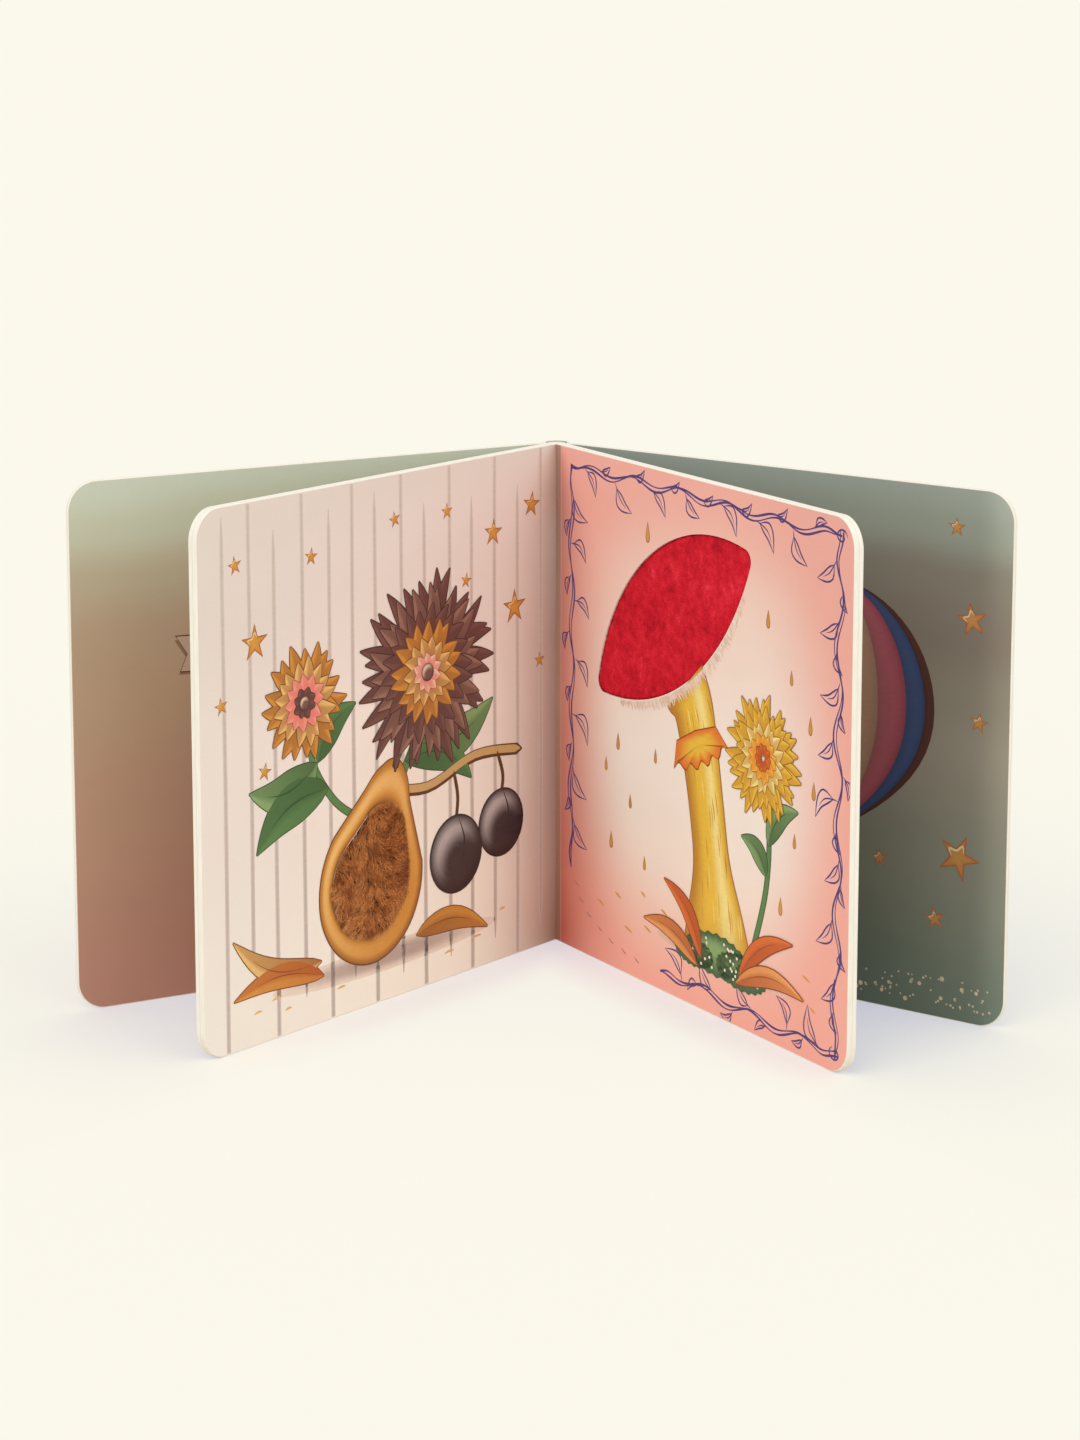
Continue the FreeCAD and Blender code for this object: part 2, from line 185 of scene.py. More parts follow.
def grain(paint, colour, amount=0.05):
    """Print on coated board: faint mottling in the colour and a fine grain."""
    where = paint.place()
    cloudy = paint.noise(where, 60.0, 4.0)
    fine = paint.noise(where, 1400.0, 2.0)
    level = paint.math("ADD", paint.math("MULTIPLY", cloudy, amount), paint.math("MULTIPLY", fine, amount))
    level = paint.math("ADD", level, 1.0 - amount)
    grey = paint.node("ShaderNodeCombineColor", {0: level, 1: level, 2: level}).outputs[0]
    paint.bump(fine, 0.00002, 0.35)
    return paint.blend(1.0, colour, grey, "MULTIPLY")


# Painted shade at the fold: how much darker a page is painted toward its fold, by height
LEFT_FOLD_SHADE = [
    (0.0, (0.56, 0.72, 0.77, 1)), (0.15, (0.46, 0.60, 0.64, 1)), (0.62, (0.44, 0.56, 0.60, 1)),
    (0.82, (0.29, 0.35, 0.38, 1)), (0.90, (0.27, 0.44, 0.48, 1)), (0.97, (0.16, 0.28, 0.32, 1)),
]
RIGHT_FOLD_SHADE = [
    (0.0, (0.50, 0.86, 0.90, 1)), (0.15, (0.39, 0.68, 0.72, 1)), (0.5, (0.33, 0.54, 0.58, 1)),
    (0.80, (0.42, 0.57, 0.60, 1)), (0.91, (0.54, 0.72, 0.74, 1)), (1.0, (0.20, 0.84, 0.84, 1)),
]


def page_material(name, stops, edge=None, edge_from=0.25, fold=None, depth=None, fore=(0.0, 0.0, 0.5, 0.95), lap=None):
    """A page's ground: a gradient up the page, turning to another colour at its edges,
    with painted shade toward the fold, on its left (0) or its right (1), and toward its
    fore edge by an amount at the foot, less what is lost by the head, between two
    places; a negative amount paints light there instead. The facing page's print may
    lap over its fold, with a painted highlight along the crease."""
    paint = Paint(name)
    x, y, _ = paint.split(paint.place(1 / (PAGE * MM)))
    wander = paint.math("MULTIPLY", paint.math("SUBTRACT", paint.noise(paint.place(), 9.0, 2.0), 0.5), 0.10)
    colour = paint.ramp(paint.math("ADD", y, wander), stops)
    if edge:
        across = paint.math("ABSOLUTE", paint.math("SUBTRACT", x, 0.5))
        along = paint.math("ABSOLUTE", paint.math("SUBTRACT", y, 0.5))
        far = paint.math("ADD", paint.math("POWER", across, 3.0), paint.math("POWER", along, 3.0))
        far = paint.math("ADD", paint.math("POWER", far, 1 / 3), wander)
        share = paint.node("ShaderNodeMapRange", {0: far, 1: edge_from, 2: 0.5}, interpolation_type="SMOOTHSTEP")
        colour = paint.blend(share.outputs[0], colour, paint.ramp(y, edge))
    if fold is not None:
        apart = paint.math("ABSOLUTE", paint.math("SUBTRACT", x, float(fold)))
        # Painted shade: darker toward the fold, by the amounts in depth at each height.
        if depth:
            reach = paint.math("SUBTRACT", 0.33, paint.math("MULTIPLY", paint.math("POWER", y, 2.0), 0.2))
            reach = paint.math("SUBTRACT", reach, paint.math("MULTIPLY", paint.math("POWER", y, 8.0), 0.1))
            near = paint.node("ShaderNodeMapRange", {0: apart, 1: 0.0, 2: reach, 3: 1.0, 4: 0.0}).outputs[0]
            inputs = {0: paint.ramp(y, depth, "LINEAR"), "Scale": paint.math("POWER", near, 2.0)}
            lost = paint.node("ShaderNodeVectorMath", inputs, operation="SCALE").outputs[0]
            kept = paint.node("ShaderNodeVectorMath", {0: (1, 1, 1), 1: lost}, operation="SUBTRACT").outputs[0]
            colour = paint.blend(1.0, colour, kept, "MULTIPLY")
        # Painted shade toward the fore edge; a negative amount paints light there.
        amount, fading, start, end = fore
        far = paint.node("ShaderNodeMapRange", {0: apart, 1: start, 2: end}, interpolation_type="SMOOTHSTEP")
        amount = paint.math("SUBTRACT", amount, paint.math("MULTIPLY", paint.math("POWER", y, 3.0), fading))
        level = paint.math("SUBTRACT", 1.0, paint.math("MULTIPLY", far.outputs[0], amount))
        grey = paint.node("ShaderNodeCombineColor", {0: level, 1: level, 2: level}).outputs[0]
        colour = paint.blend(1.0, colour, grey, "MULTIPLY")
        if lap:
            past = paint.node("ShaderNodeMapRange", {0: apart, 1: 0.0165, 2: 0.0205}).outputs[0]
            colour = paint.blend(past, paint.ramp(y, lap, "LINEAR"), colour)
            # A pale line along the crease: a painted highlight.
            beside = paint.math("ABSOLUTE", paint.math("SUBTRACT", apart, 0.0195))
            crease = paint.node("ShaderNodeMapRange", {0: beside, 1: 0.0, 2: 0.0024, 3: 0.5, 4: 0.0})
            colour = paint.blend(crease.outputs[0], colour, srgb(232, 190, 172))
    return paint.finish(grain(paint, colour), 0.48, Specular_IOR_Level=0.35)


def ink_material(name, roughness, metallic=0.0, **plain):
    """Printed ink in the colours that each shape carries."""
    paint = Paint(name)
    colour = paint.node("ShaderNodeAttribute", attribute_name="ink").outputs["Color"]
    strokes = paint.noise(paint.place((1.0, 3.0, 1.0)), 320.0, 3.0, 0.65)
    level = paint.math("ADD", paint.math("MULTIPLY", strokes, 0.22), 0.89)
    grey = paint.node("ShaderNodeCombineColor", {0: level, 1: level, 2: level}).outputs[0]
    colour = paint.blend(1.0, colour, grey, "MULTIPLY")
    return paint.finish(grain(paint, colour), roughness, Metallic=metallic, **plain)


def board_material(name, cut, directions):
    """Cut board: cream fibres, and the glue line between two sheets of a leaf."""
    paint = Paint(name)
    where = paint.place()
    fibres = paint.noise(paint.place((1.0, 1.0, 0.15)), 900.0, 4.0)
    colour = paint.ramp(fibres, [(0.25, shade(cut, 0.93)), (0.75, cut)])
    for normal, start, board in directions:
        offset = paint.node("ShaderNodeVectorMath", {0: where, 1: tuple(normal)}, operation="DOT_PRODUCT")
        depth = paint.math("SUBTRACT", offset.outputs["Value"], (start + board / 2) * MM)
        apart = paint.math("ABSOLUTE", depth)
        line = paint.node("ShaderNodeMapRange", {0: apart, 1: 0.00004, 2: 0.00016, 3: 0.8, 4: 0.0})
        colour = paint.blend(line.outputs[0], colour, shade(cut, 0.78))
    paint.bump(fibres, 0.00006, 0.4)
    return paint.finish(colour, 0.75, Specular_IOR_Level=0.25)


def spine_material(name, stops, cut):
    """Printed paper over the back, with the board's cut fibres at its two ends."""
    paint = Paint(name)
    _, _, z = paint.split(paint.place(1 / (PAGE * MM)))
    wander = paint.math("MULTIPLY", paint.math("SUBTRACT", paint.noise(paint.place(), 9.0, 2.0), 0.5), 0.10)
    colour = grain(paint, paint.ramp(paint.math("ADD", z, wander), stops))
    middle = paint.math("ABSOLUTE", paint.math("SUBTRACT", z, 0.5))
    ends = paint.math("GREATER_THAN", middle, 0.5 - 0.7 * SOFT_EDGE / PAGE)
    return paint.finish(paint.blend(ends, colour, cut), 0.48, Specular_IOR_Level=0.35)


# Outlines in page millimetres
def page_outline(fold_on_right, fold_inset):
    """A page with two rounded corners away from its fold."""
    steps = 12
    low, high = SOFT_EDGE, PAGE - SOFT_EDGE
    radius = CORNER - SOFT_EDGE
    points = [(fold_inset, low)]
    for centre_y, first in ((low + radius, -90), (high - radius, 0)):
        for step in range(steps + 1):
            turn = math.radians(first + 90 * step / steps)
            points.append((high - radius + radius * math.cos(turn), centre_y + radius * math.sin(turn)))
    points.append((fold_inset, high))
    if fold_on_right:
        points = [(PAGE - x, y) for x, y in reversed(points)]
    return points


def egg(inset=0.0, count=96):
    """The fur window, anticlockwise from its right flank."""
    wide, narrow = BELLY["wide"] - inset, BELLY["narrow"] - inset
    turned = math.radians(-BELLY["lean"])
    taper = math.asin((wide - narrow) / BELLY["rise"])
    near, far = taper + turned, math.pi - taper + turned
    high = (BELLY["x"] - BELLY["rise"] * math.sin(turned), BELLY["y"] + BELLY["rise"] * math.cos(turned))
    points = []
    for centre, radius, first, last in (
        (high, narrow, near, far),
        ((BELLY["x"], BELLY["y"]), wide, far, 2 * math.pi + near),
    ):
        steps = count // 2
        for step in range(steps):
            turn = first + (last - first) * step / (steps - 1)
            points.append((centre[0] + radius * math.cos(turn), centre[1] + radius * math.sin(turn)))
    return points


def cap_local(inset=0.0, count=120):
    """The velvet window about the middle of its tips, before it is tilted."""
    dome, rim, tip = CAP["dome"] - inset, CAP["rim"] - inset, CAP["tip"] - inset
    sink, lift = CAP["dome"] - CAP["rise"], CAP["rim"] - CAP["drop"]
    up = ((dome - tip) ** 2 - (rim - tip) ** 2 - sink**2 + lift**2) / (2 * (sink + lift))
    out = math.sqrt((dome - tip) ** 2 - (up + sink) ** 2)
    on_dome, on_rim = math.atan2(up + sink, out), math.atan2(up - lift, out)
    arcs = (
        (0, -sink, dome, on_dome, math.pi - on_dome, count // 2),
        (-out, up, tip, math.pi - on_dome, math.pi - on_rim, count // 10),
        (0, lift, rim, math.pi - on_rim, 2 * math.pi + on_rim, count // 3),
        (out, up, tip, on_rim, on_dome, count // 10),
    )
    points = []
    for x, y, radius, first, last, steps in arcs:
        for step in range(steps):
            turn = first + (last - first) * step / steps
            points.append((x + radius * math.cos(turn), y + radius * math.sin(turn)))
    return points


def cap_turned(point):
    tilt = math.radians(CAP["tilt"])
    x, y = point
    across = x * math.cos(tilt) - y * math.sin(tilt)
    return CAP["x"] + across, CAP["y"] + x * math.sin(tilt) + y * math.cos(tilt)


def cap(inset=0.0, count=120):
    return [cap_turned(p) for p in cap_local(inset, count)]


def curve(points, steps=8, closed=False):
    """A smooth line through a few points."""
    count = len(points)
    spans = count if closed else count - 1

    def at(index):
        return points[index % count] if closed else points[min(max(index, 0), count - 1)]

    made = []
    for span in range(spans):
        p0, p1, p2, p3 = (at(span + k) for k in (-1, 0, 1, 2))
        for step in range(steps):
            t = step / steps
            made.append(tuple(
                0.5 * (2 * b + (c - a) * t + (2 * a - 5 * b + 4 * c - d) * t**2 + (3 * b - a - 3 * c + d) * t**3)
                for a, b, c, d in zip(p0, p1, p2, p3)
            ))
    if not closed:
        made.append(points[-1])
    return made


# Printed shapes
class Print:
    """Thin printed shapes on one face of the book, gathered into one piece."""

    def __init__(self, name, where, material, slot):
        self.name, self.where, self.material, self.slot = name, where, material, slot
        self.vertices, self.faces, self.colours = [], [], []

    def solid(self, rows, colours, lift, closed_ring):
        """A thin plate from rows of points. One closed ring is an outline."""
        top, bottom = (lift + 1) * INK, lift * INK
        start = len(self.vertices)
        flat = [p for row in rows for p in row]
        count = len(flat)
        self.vertices += [(x, y, top) for x, y in flat] + [(x, y, bottom) for x, y in flat]
        self.colours += list(colours) * 2
        if closed_ring:
            ring = list(range(count))
            self.faces += [[start + i for i in ring], [start + count + i for i in reversed(ring)]]
        else:
            width = len(rows[0])
            for row in range(len(rows) - 1):
                for column in range(width - 1):
                    a = row * width + column
                    quad = [a, a + 1, a + 1 + width, a + width]
                    self.faces.append([start + i for i in quad])
                    self.faces.append([start + count + i for i in reversed(quad)])
            last = (len(rows) - 1) * width
            ring = list(range(width)) + [r * width + width - 1 for r in range(1, len(rows))]
            ring += [last + c for c in range(width - 2, -1, -1)] + [r * width for r in range(len(rows) - 2, 0, -1)]
        for here, there in zip(ring, ring[1:] + ring[:1]):
            self.faces.append([start + i for i in (here, here + count, there + count, there)])

    def shape(self, outline, colour, lift=1):
        area = sum(a[0] * b[1] - b[0] * a[1] for a, b in zip(outline, outline[1:] + outline[:1]))
        outline = outline if area > 0 else outline[::-1]
        self.solid([outline], [colour] * len(outline), lift, True)

    def strip(self, line, widths, colours, lift=1, columns=3):
        """A band along a line. widths and colours are functions of the share of its
        length, and colours also of the place across it from -1 to 1."""
        rows, inks = [], []
        last = len(line) - 1
        for index, (x, y) in enumerate(line):
            before, after = line[max(index - 1, 0)], line[min(index + 1, last)]
            run = math.hypot(after[0] - before[0], after[1] - before[1]) or 1.0
            side = ((before[1] - after[1]) / run, (after[0] - before[0]) / run)
            share = index / last
            half = max(widths(share) / 2, 0.01)
            row = []
            for column in range(columns):
                across = 1 - 2 * column / (columns - 1)
                row.append((x + side[0] * half * across, y + side[1] * half * across))
                inks.append(colours(share, across))
            rows.append(row)
        self.solid(rows, inks, lift, False)

    def line(self, points, width, colour, lift=1, taper=0.25, steps=6):
        """A pen stroke that thins out at both ends."""

        def widths(share):
            return width * min(1.0, 0.15 + min(share, 1 - share) / max(taper, 1e-6))

        self.strip(curve(points, steps), widths, lambda share, across: colour, lift, 2)

    def blob(self, outline, centre, colours, lift=1, rings=5):
        """A rounded, air-brushed shape. colours takes the share of the way from the
        centre to the rim and the direction from the centre."""
        area = sum(a[0] * b[1] - b[0] * a[1] for a, b in zip(outline, outline[1:] + outline[:1]))
        outline = outline if area > 0 else outline[::-1]
        start, count = len(self.vertices), len(outline)
        top, bottom = (lift + 1) * INK, lift * INK
        for ring in range(rings, 0, -1):
            share = ring / rings
            for x, y in outline:
                px, py = centre[0] + (x - centre[0]) * share, centre[1] + (y - centre[1]) * share
                self.vertices.append((px, py, top))
                self.colours.append(colours(share, math.atan2(y - centre[1], x - centre[0])))
        self.vertices.append((centre[0], centre[1], top))
        self.colours.append(colours(0.0, 0.0))
        foot = len(self.vertices)
        self.vertices += [(x, y, bottom) for x, y in outline]
        self.colours += self.colours[start:start + count]
        for k in range(count):
            after = (k + 1) % count
            for ring in range(rings - 1):
                a = start + ring * count
                self.faces.append([a + k, a + after, a + count + after, a + count + k])
            inner = start + (rings - 1) * count
            self.faces.append([inner + k, inner + after, start + rings * count])
            self.faces.append([start + k, foot + k, foot + after, start + after])
        self.faces.append([foot + k for k in range(count - 1, -1, -1)])

    def ball(self, x, y, radius, dark, body, light, lift=1, squeeze=1.0):
        """A painted ball lit from the upper left."""

        def colours(share, turn):
            facing = 0.5 + 0.5 * math.cos(turn - math.radians(125))
            lit = share * facing
            colour = mix(body, light, smooth(0.15, 0.7, lit) * (1 - smooth(0.8, 1.0, share)))
            return mix(colour, dark, smooth(0.62, 1.0, share) * (1 - 0.35 * facing))

        outline = [
            (x + radius * math.cos(2 * math.pi * k / 36), y + radius * squeeze * math.sin(2 * math.pi * k / 36))
            for k in range(36)
        ]
        self.blob(outline, (x, y), colours, lift, 7)

    def leaf(self, base, tip, width, bend, dark, light, lift=1, vein=None, outline=None, point=0.9):
        """A leaf or petal with a lighter half and a vein down its middle."""
        run_x, run_y = tip[0] - base[0], tip[1] - base[1]
        line = []
        for k in range(13):
            t = k / 12
            bow = bend * math.sin(math.pi * t)
            line.append((base[0] + run_x * t - run_y * bow, base[1] + run_y * t + run_x * bow))

        def widths(extra):
            return lambda t: extra + width * math.sin(math.pi * t**0.8) ** point

        if outline:
            self.strip(line, widths(0.7), lambda t, across: outline, lift, 2)
        lit = lambda t, across: mix(mix(dark, light, 0.25 + 0.75 * t), light if across > 0 else dark, 0.45)
        self.strip(line, widths(0.0), lit, lift + 1, 5)
        if vein:
            middle = line[1:-2:2]
            self.line(middle, max(0.3, width * 0.05), vein, lift + 2, 0.5, 3)

    def build(self):
        mesh = bpy.data.meshes.new(self.name)
        low, high = 2 * SOFT_EDGE, PAGE - 2 * SOFT_EDGE
        kept = [(min(max(x, low), high), min(max(y, low), high), z) for x, y, z in self.vertices]
        mesh.from_pydata([(x * MM, y * MM, z * MM) for x, y, z in kept], [], self.faces)
        ink = mesh.attributes.new("ink", "FLOAT_COLOR", "POINT")
        ink.data.foreach_set("color", [c for colour in self.colours for c in colour])
        mesh.materials.append(self.material)
        return stand(self.name, mesh, self.where, self.slot)


def stand(name, mesh, where, slot):
    """Puts a mesh drawn in page coordinates on its face of the book."""
    piece = bpy.data.objects.new(name, mesh)
    bpy.context.scene.collection.objects.link(piece)
    piece.matrix_world = FACES[where]
    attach(piece, BODY_OF[where])
    return piece


def ground(where, material, fold_on_right, fold_inset, hole=None, slot="page_board"):
    """The printed sheet that covers a face of a board, with its die-cut window."""
    outline = page_outline(fold_on_right, fold_inset)
    rings = [outline] + ([hole] if hole else [])
    curve_data = bpy.data.curves.new(where + "_print", "CURVE")
    curve_data.dimensions = "2D"
    curve_data.fill_mode = "BOTH"
    curve_data.extrude = INK * MM / 2
    for ring in rings:
        spline = curve_data.splines.new("POLY")
        spline.points.add(len(ring) - 1)
        for vertex, (x, y) in zip(spline.points, ring):
            vertex.co = (x * MM, y * MM, 0, 1)
        spline.use_cyclic_u = True
    flat = bpy.data.objects.new(where + "_flat", curve_data)
    bpy.context.scene.collection.objects.link(flat)
    mesh = bpy.data.meshes.new_from_object(flat)
    bpy.data.objects.remove(flat)
    mesh.name = where + "_print"
    mesh.transform(Matrix.Translation((0, 0, INK * MM / 2)))
    mesh.materials.clear()
    mesh.materials.append(material)
    return stand(where + "_print", mesh, where, slot)


# Inks and papers
CREAM_CUT = srgb(247, 240, 226)
GOLD = srgb(224, 168, 76)
GOLD_DARK = srgb(172, 104, 56)
GOLD_LIGHT = srgb(250, 214, 140)
VIOLET = srgb(78, 58, 122)

ink_matt = ink_material("printed_ink", 0.5, Specular_IOR_Level=0.35)
ink_gold = ink_material("gold_ink", 0.38, metallic=0.35)
ink_gloss = ink_material("spot_gloss_ink", 0.16, Specular_IOR_Level=0.6)

board_pages = board_material(
    "cut_board_pages", CREAM_CUT, [(left_back, 0.0, PAGE_BOARD), (right_back, 0.0, PAGE_BOARD)]
)
board_front = board_material(
    "cut_board_front", CREAM_CUT, [(front_back, left_fold.dot(front_back), COVER_BOARD)]
)
board_back = board_material(
    "cut_board_back", CREAM_CUT, [(back_back, right_fold.dot(back_back), COVER_BOARD)]
)
cream_page = page_material(
    "cream_page",
    [(0.0, srgb(255, 247, 236)), (0.5, srgb(249, 237, 228)), (0.85, srgb(235, 222, 213)), (1.0, srgb(230, 217, 206))],
    # Painted shade toward the fold and the fore edge.
    fold=1,
    depth=LEFT_FOLD_SHADE,
    fore=(0.10, 0.10, 0.5, 0.95),
)
coral_page = page_material(
    "coral_page",
    [(0.0, srgb(255, 228, 212)), (0.45, srgb(255, 242, 232)), (0.8, srgb(250, 222, 208)), (1.0, srgb(243, 198, 180))],
    [(0.0, srgb(255, 180, 163)), (0.5, srgb(252, 180, 165)), (1.0, srgb(246, 178, 164))],
    0.24,
    # Painted shade toward the fold and the fore edge.
    fold=0,
    depth=RIGHT_FOLD_SHADE,
    fore=(0.07, 0.0, 0.5, 0.95),
    # The cream print lapping over the fold, in colours darkened with painted gutter shade.
    lap=[
        (0.0, srgb(168, 115, 98)), (0.5, srgb(190, 146, 128)), (0.7, srgb(180, 139, 124)),
        (0.88, srgb(171, 131, 118)), (1.0, srgb(177, 139, 125)),
    ],
)
rose_page = page_material(
    "rose_page",
    [
        (0.0, srgb(192, 141, 123)),
        (0.36, srgb(196, 156, 132)),
        (0.60, srgb(194, 164, 136)),
        (0.71, srgb(191, 165, 138)),
        (0.82, srgb(192, 178, 150)),
        (0.91, srgb(200, 201, 176)),
        (1.0, srgb(207, 212, 192)),
    ],
)
SAGE = [
    (0.0, srgb(106, 118, 104)),
    (0.3, srgb(135, 135, 120)),
    (0.6, srgb(154, 150, 134)),
    (1.0, srgb(158, 166, 152)),
]
sage_page = page_material("sage_page", SAGE)
# Inside of the back cover: its gradient is partly print and partly painted shade, darker from 0.6 to 0.83 of its
# height, and it is painted lighter toward its far edge.
sage_inside_shaded = page_material(
    "sage_page_lit",
    [
        (0.0, srgb(106, 118, 104)),
        (0.3, srgb(135, 134, 119)),
        (0.5, srgb(150, 141, 127)),
        (0.6, srgb(143, 134, 119)),
        (0.72, srgb(133, 121, 109)),
        (0.83, srgb(135, 127, 114)),
        (0.91, srgb(151, 155, 141)),
        (1.0, srgb(160, 168, 157)),
    ],
    fold=0,
    fore=(-0.38, 0.0, 0.92, 1.0),
)
spine_paper = spine_material(
    "spine_paper",
    [
        (0.0, srgb(166, 130, 112)),
        (0.36, srgb(176, 146, 124)),
        (0.60, srgb(180, 162, 134)),
        (1.0, srgb(190, 196, 176)),
    ],
    CREAM_CUT,
)
for node, material in (
    ("pages", board_pages), ("front_cover", board_front), ("back_cover", board_back), ("spine", spine_paper),
):
    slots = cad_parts[node].data.materials
    slots.clear()
    slots.append(material)

ground("left_page", cream_page, True, 0.0, egg()[::-1])
ground("right_page", coral_page, False, 0.0, cap()[::-1])
ground("left_page_back", rose_page, False, 0.0)
ground("right_page_back", sage_page, True, 0.0)
ground("front_cover_inside", rose_page, True, 3.0, slot="cover_board")
ground("back_cover_inside", sage_inside_shaded, False, 3.0, slot="cover_board")
ground("front_cover_outside", rose_page, False, FOLD_CLEARANCE, slot="cover_board")
ground("back_cover_outside", sage_page, True, FOLD_CLEARANCE, slot="cover_board")

# Stripes of the left page: soft pencil lines, long ones from the head and short
# ones from the foot in turn, given from the fore edge as (x, foot end, head end).
STRIPES = [
    (10.8, 0.3, 167), (22.3, 25, 169.7), (33.1, 0.3, 160), (45.8, 10, 169.7), (58.0, 0.3, 163),
    (68.8, 11, 169.7), (79.5, 0.3, 166), (92.0, 7, 169.7), (103.0, 0.3, 159), (115.4, 7, 169.7),
    (126.3, 0.3, 158), (138.0, 8, 169.7), (149.8, 0.3, 159), (161.9, 7, 169.7),
]


def stripes():
    art = Print("left_page_stripes", "left_page", ink_matt, "page_board")
    head, foot, paper = srgb(205, 190, 178), srgb(190, 176, 172), srgb(234, 219, 208)
    for x, low, high in STRIPES:
        line = [(x + 0.12 * math.sin(y / 23 + x), y) for y in (low + (high - low) * k / 24 for k in range(25))]
        blunt_foot, blunt_head = low < 1, high > 169

        def width(share, blunt_foot=blunt_foot, blunt_head=blunt_head):
            ends = 1.0 if blunt_foot else min(1.0, 0.2 + share * 18)
            return 1.9 * (ends if blunt_head else min(ends, 0.2 + (1 - share) * 18))

        art.strip(line, width, lambda share, across: mix(mix(foot, head, share), paper, 0.8 * abs(across) ** 1.6), 1, 5)
    art.build()


def star(art, x, y, radius, turn, inks, lift=2):
    """A painted star: a dark rim, a gold face and a light edge."""
    dark, body, light = inks

    def points(size, waist=0.38):
        made = []
        for k in range(10):
            angle = math.radians(turn + 36 * k + 90)
            reach = size * (1.0 if k % 2 == 0 else waist)
            made.append((x + reach * math.cos(angle), y + reach * math.sin(angle)))
        return made

    art.shape(points(radius * 1.1), dark, lift)
    art.blob(points(radius * 0.94), (x, y), lambda share, turn: mix(body, dark, 0.6 * share**3), lift + 1, 3)
    rim = points(radius * 0.58, 0.55)
    art.line(rim[9:] + rim[:4], radius * 0.10, light, lift + 2, steps=3)


LEFT_STARS = [
    (16.3, 151.3, 2.9, 8), (50.1, 149.2, 2.8, -6), (89.0, 155.5, 2.6, 10), (114.3, 154.7, 2.7, 0),
    (137.4, 144.6, 4.4, -5), (157.1, 151.3, 4.2, -8), (24.5, 126.4, 5.6, 0), (123.7, 130.8, 2.6, -10),
    (148.2, 118.4, 5.6, 0), (161.3, 98.4, 2.6, 0), (9.6, 109.2, 2.8, 9), (28.2, 85.6, 2.9, -12),
]
RIGHT_DROPS = [
    (125.6, 132.8, 6), (138.4, 116.9, 5), (148.7, 104.1, 6), (135.7, 89.0, 5), (150.8, 84.5, 6),
    (141.0, 66.8, 5), (39.6, 77.2, 6), (62.3, 76.9, 5), (32.2, 68.3, 5), (47.2, 58.7, 5),
    (35.5, 43.3, 6), (56.0, 40.0, 5), (133.9, 44.7, 6), (57.0, 149.0, 7),
]
BACK_STARS = [
    (149.8, 157.5, 3.0, 0), (155.8, 129.0, 5.2, 10), (159.0, 96.9, 3.2, -8), (124.0, 48.4, 3.0, 6),
    (152.6, 53.0, 7.2, -22), (144.6, 32.0, 3.6, 12), (96.0, 150.0, 4.5, 4), (60.0, 128.0, 3.0, -9),
    (36.0, 152.0, 5.0, 8), (24.0, 96.0, 3.2, 3), (46.0, 58.0, 5.6, -7), (88.0, 30.0, 3.4, 10),
]


def stars(name, where, places, inks, slot):
    art = Print(name, where, ink_gold, slot)
    for x, y, radius, turn in places:
        star(art, x, y, radius, turn, inks)
    art.build()


def drops():
    art = Print("right_page_drops", "right_page", ink_gold, "page_board")
    for x, y, tall in RIGHT_DROPS:
        outline = []
        for k in range(16):
            turn = 2 * math.pi * k / 16
            wide = 0.17 * tall * math.sin(turn) * (0.55 - 0.45 * math.cos(turn))
            outline.append((x + wide * 1.6, y + tall / 2 * math.cos(turn)))
        art.shape(outline, GOLD_DARK, 1)
        art.shape([(x + (px - x) * 0.7, y - 0.25 + (py - y) * 0.8) for px, py in outline], GOLD, 2)
    art.build()


stripes()
stars("left_page_stars", "left_page", LEFT_STARS, (GOLD_DARK, GOLD, GOLD_LIGHT), "page_board")
COPPER = srgb(196, 110, 62), srgb(222, 158, 92), srgb(252, 226, 178)
stars("back_cover_stars", "back_cover_inside", BACK_STARS, COPPER, "cover_board")
drops()


MAUVE_DARK, MAUVE, MAUVE_LIGHT = srgb(84, 50, 46), srgb(124, 82, 74), srgb(158, 116, 100)
TAN_DARK, TAN, TAN_LIGHT = srgb(152, 90, 40), srgb(217, 149, 63), srgb(243, 196, 120)
GREEN_DARK, GREEN, GREEN_LIGHT = srgb(58, 94, 54), srgb(92, 134, 78), srgb(140, 172, 112)
PLUM_DARK, PLUM, PLUM_LIGHT = srgb(24, 19, 22), srgb(44, 37, 41), srgb(214, 204, 206)
OCHRE, YELLOW, YELLOW_LIGHT = srgb(196, 132, 44), srgb(240, 194, 66), srgb(252, 232, 150)
RUST, ORANGE, ORANGE_LIGHT = srgb(176, 74, 28), srgb(232, 118, 46), srgb(247, 170, 96)
CORAL, CREAM, PALE_CREAM = srgb(226, 110, 100), srgb(238, 212, 184), srgb(250, 238, 218)
BARK_DARK, BARK, BARK_LIGHT = srgb(96, 60, 32), srgb(150, 106, 66), srgb(206, 166, 110)


def bloom(art, x, y, rings, lift, seed):
    """A many-petalled flower. Each ring is (petals, reach, width, dark, light)."""
    chance = random.Random(seed)
    for order, (count, reach, width, dark, light) in enumerate(rings):
        for k in range(count):
            turn = 2 * math.pi * (k + 0.5 * (order % 2)) / count + chance.uniform(-0.07, 0.07)
            long = reach * chance.uniform(0.90, 1.05)
            base = (x + 0.2 * reach * math.cos(turn), y + 0.2 * reach * math.sin(turn))
            tip = (x + long * math.cos(turn), y + long * math.sin(turn))
            level = lift + order * 4 + 0.1 * k
            art.leaf(base, tip, width, chance.uniform(-0.09, 0.09), dark, light, level, outline=shade(dark, 0.6))


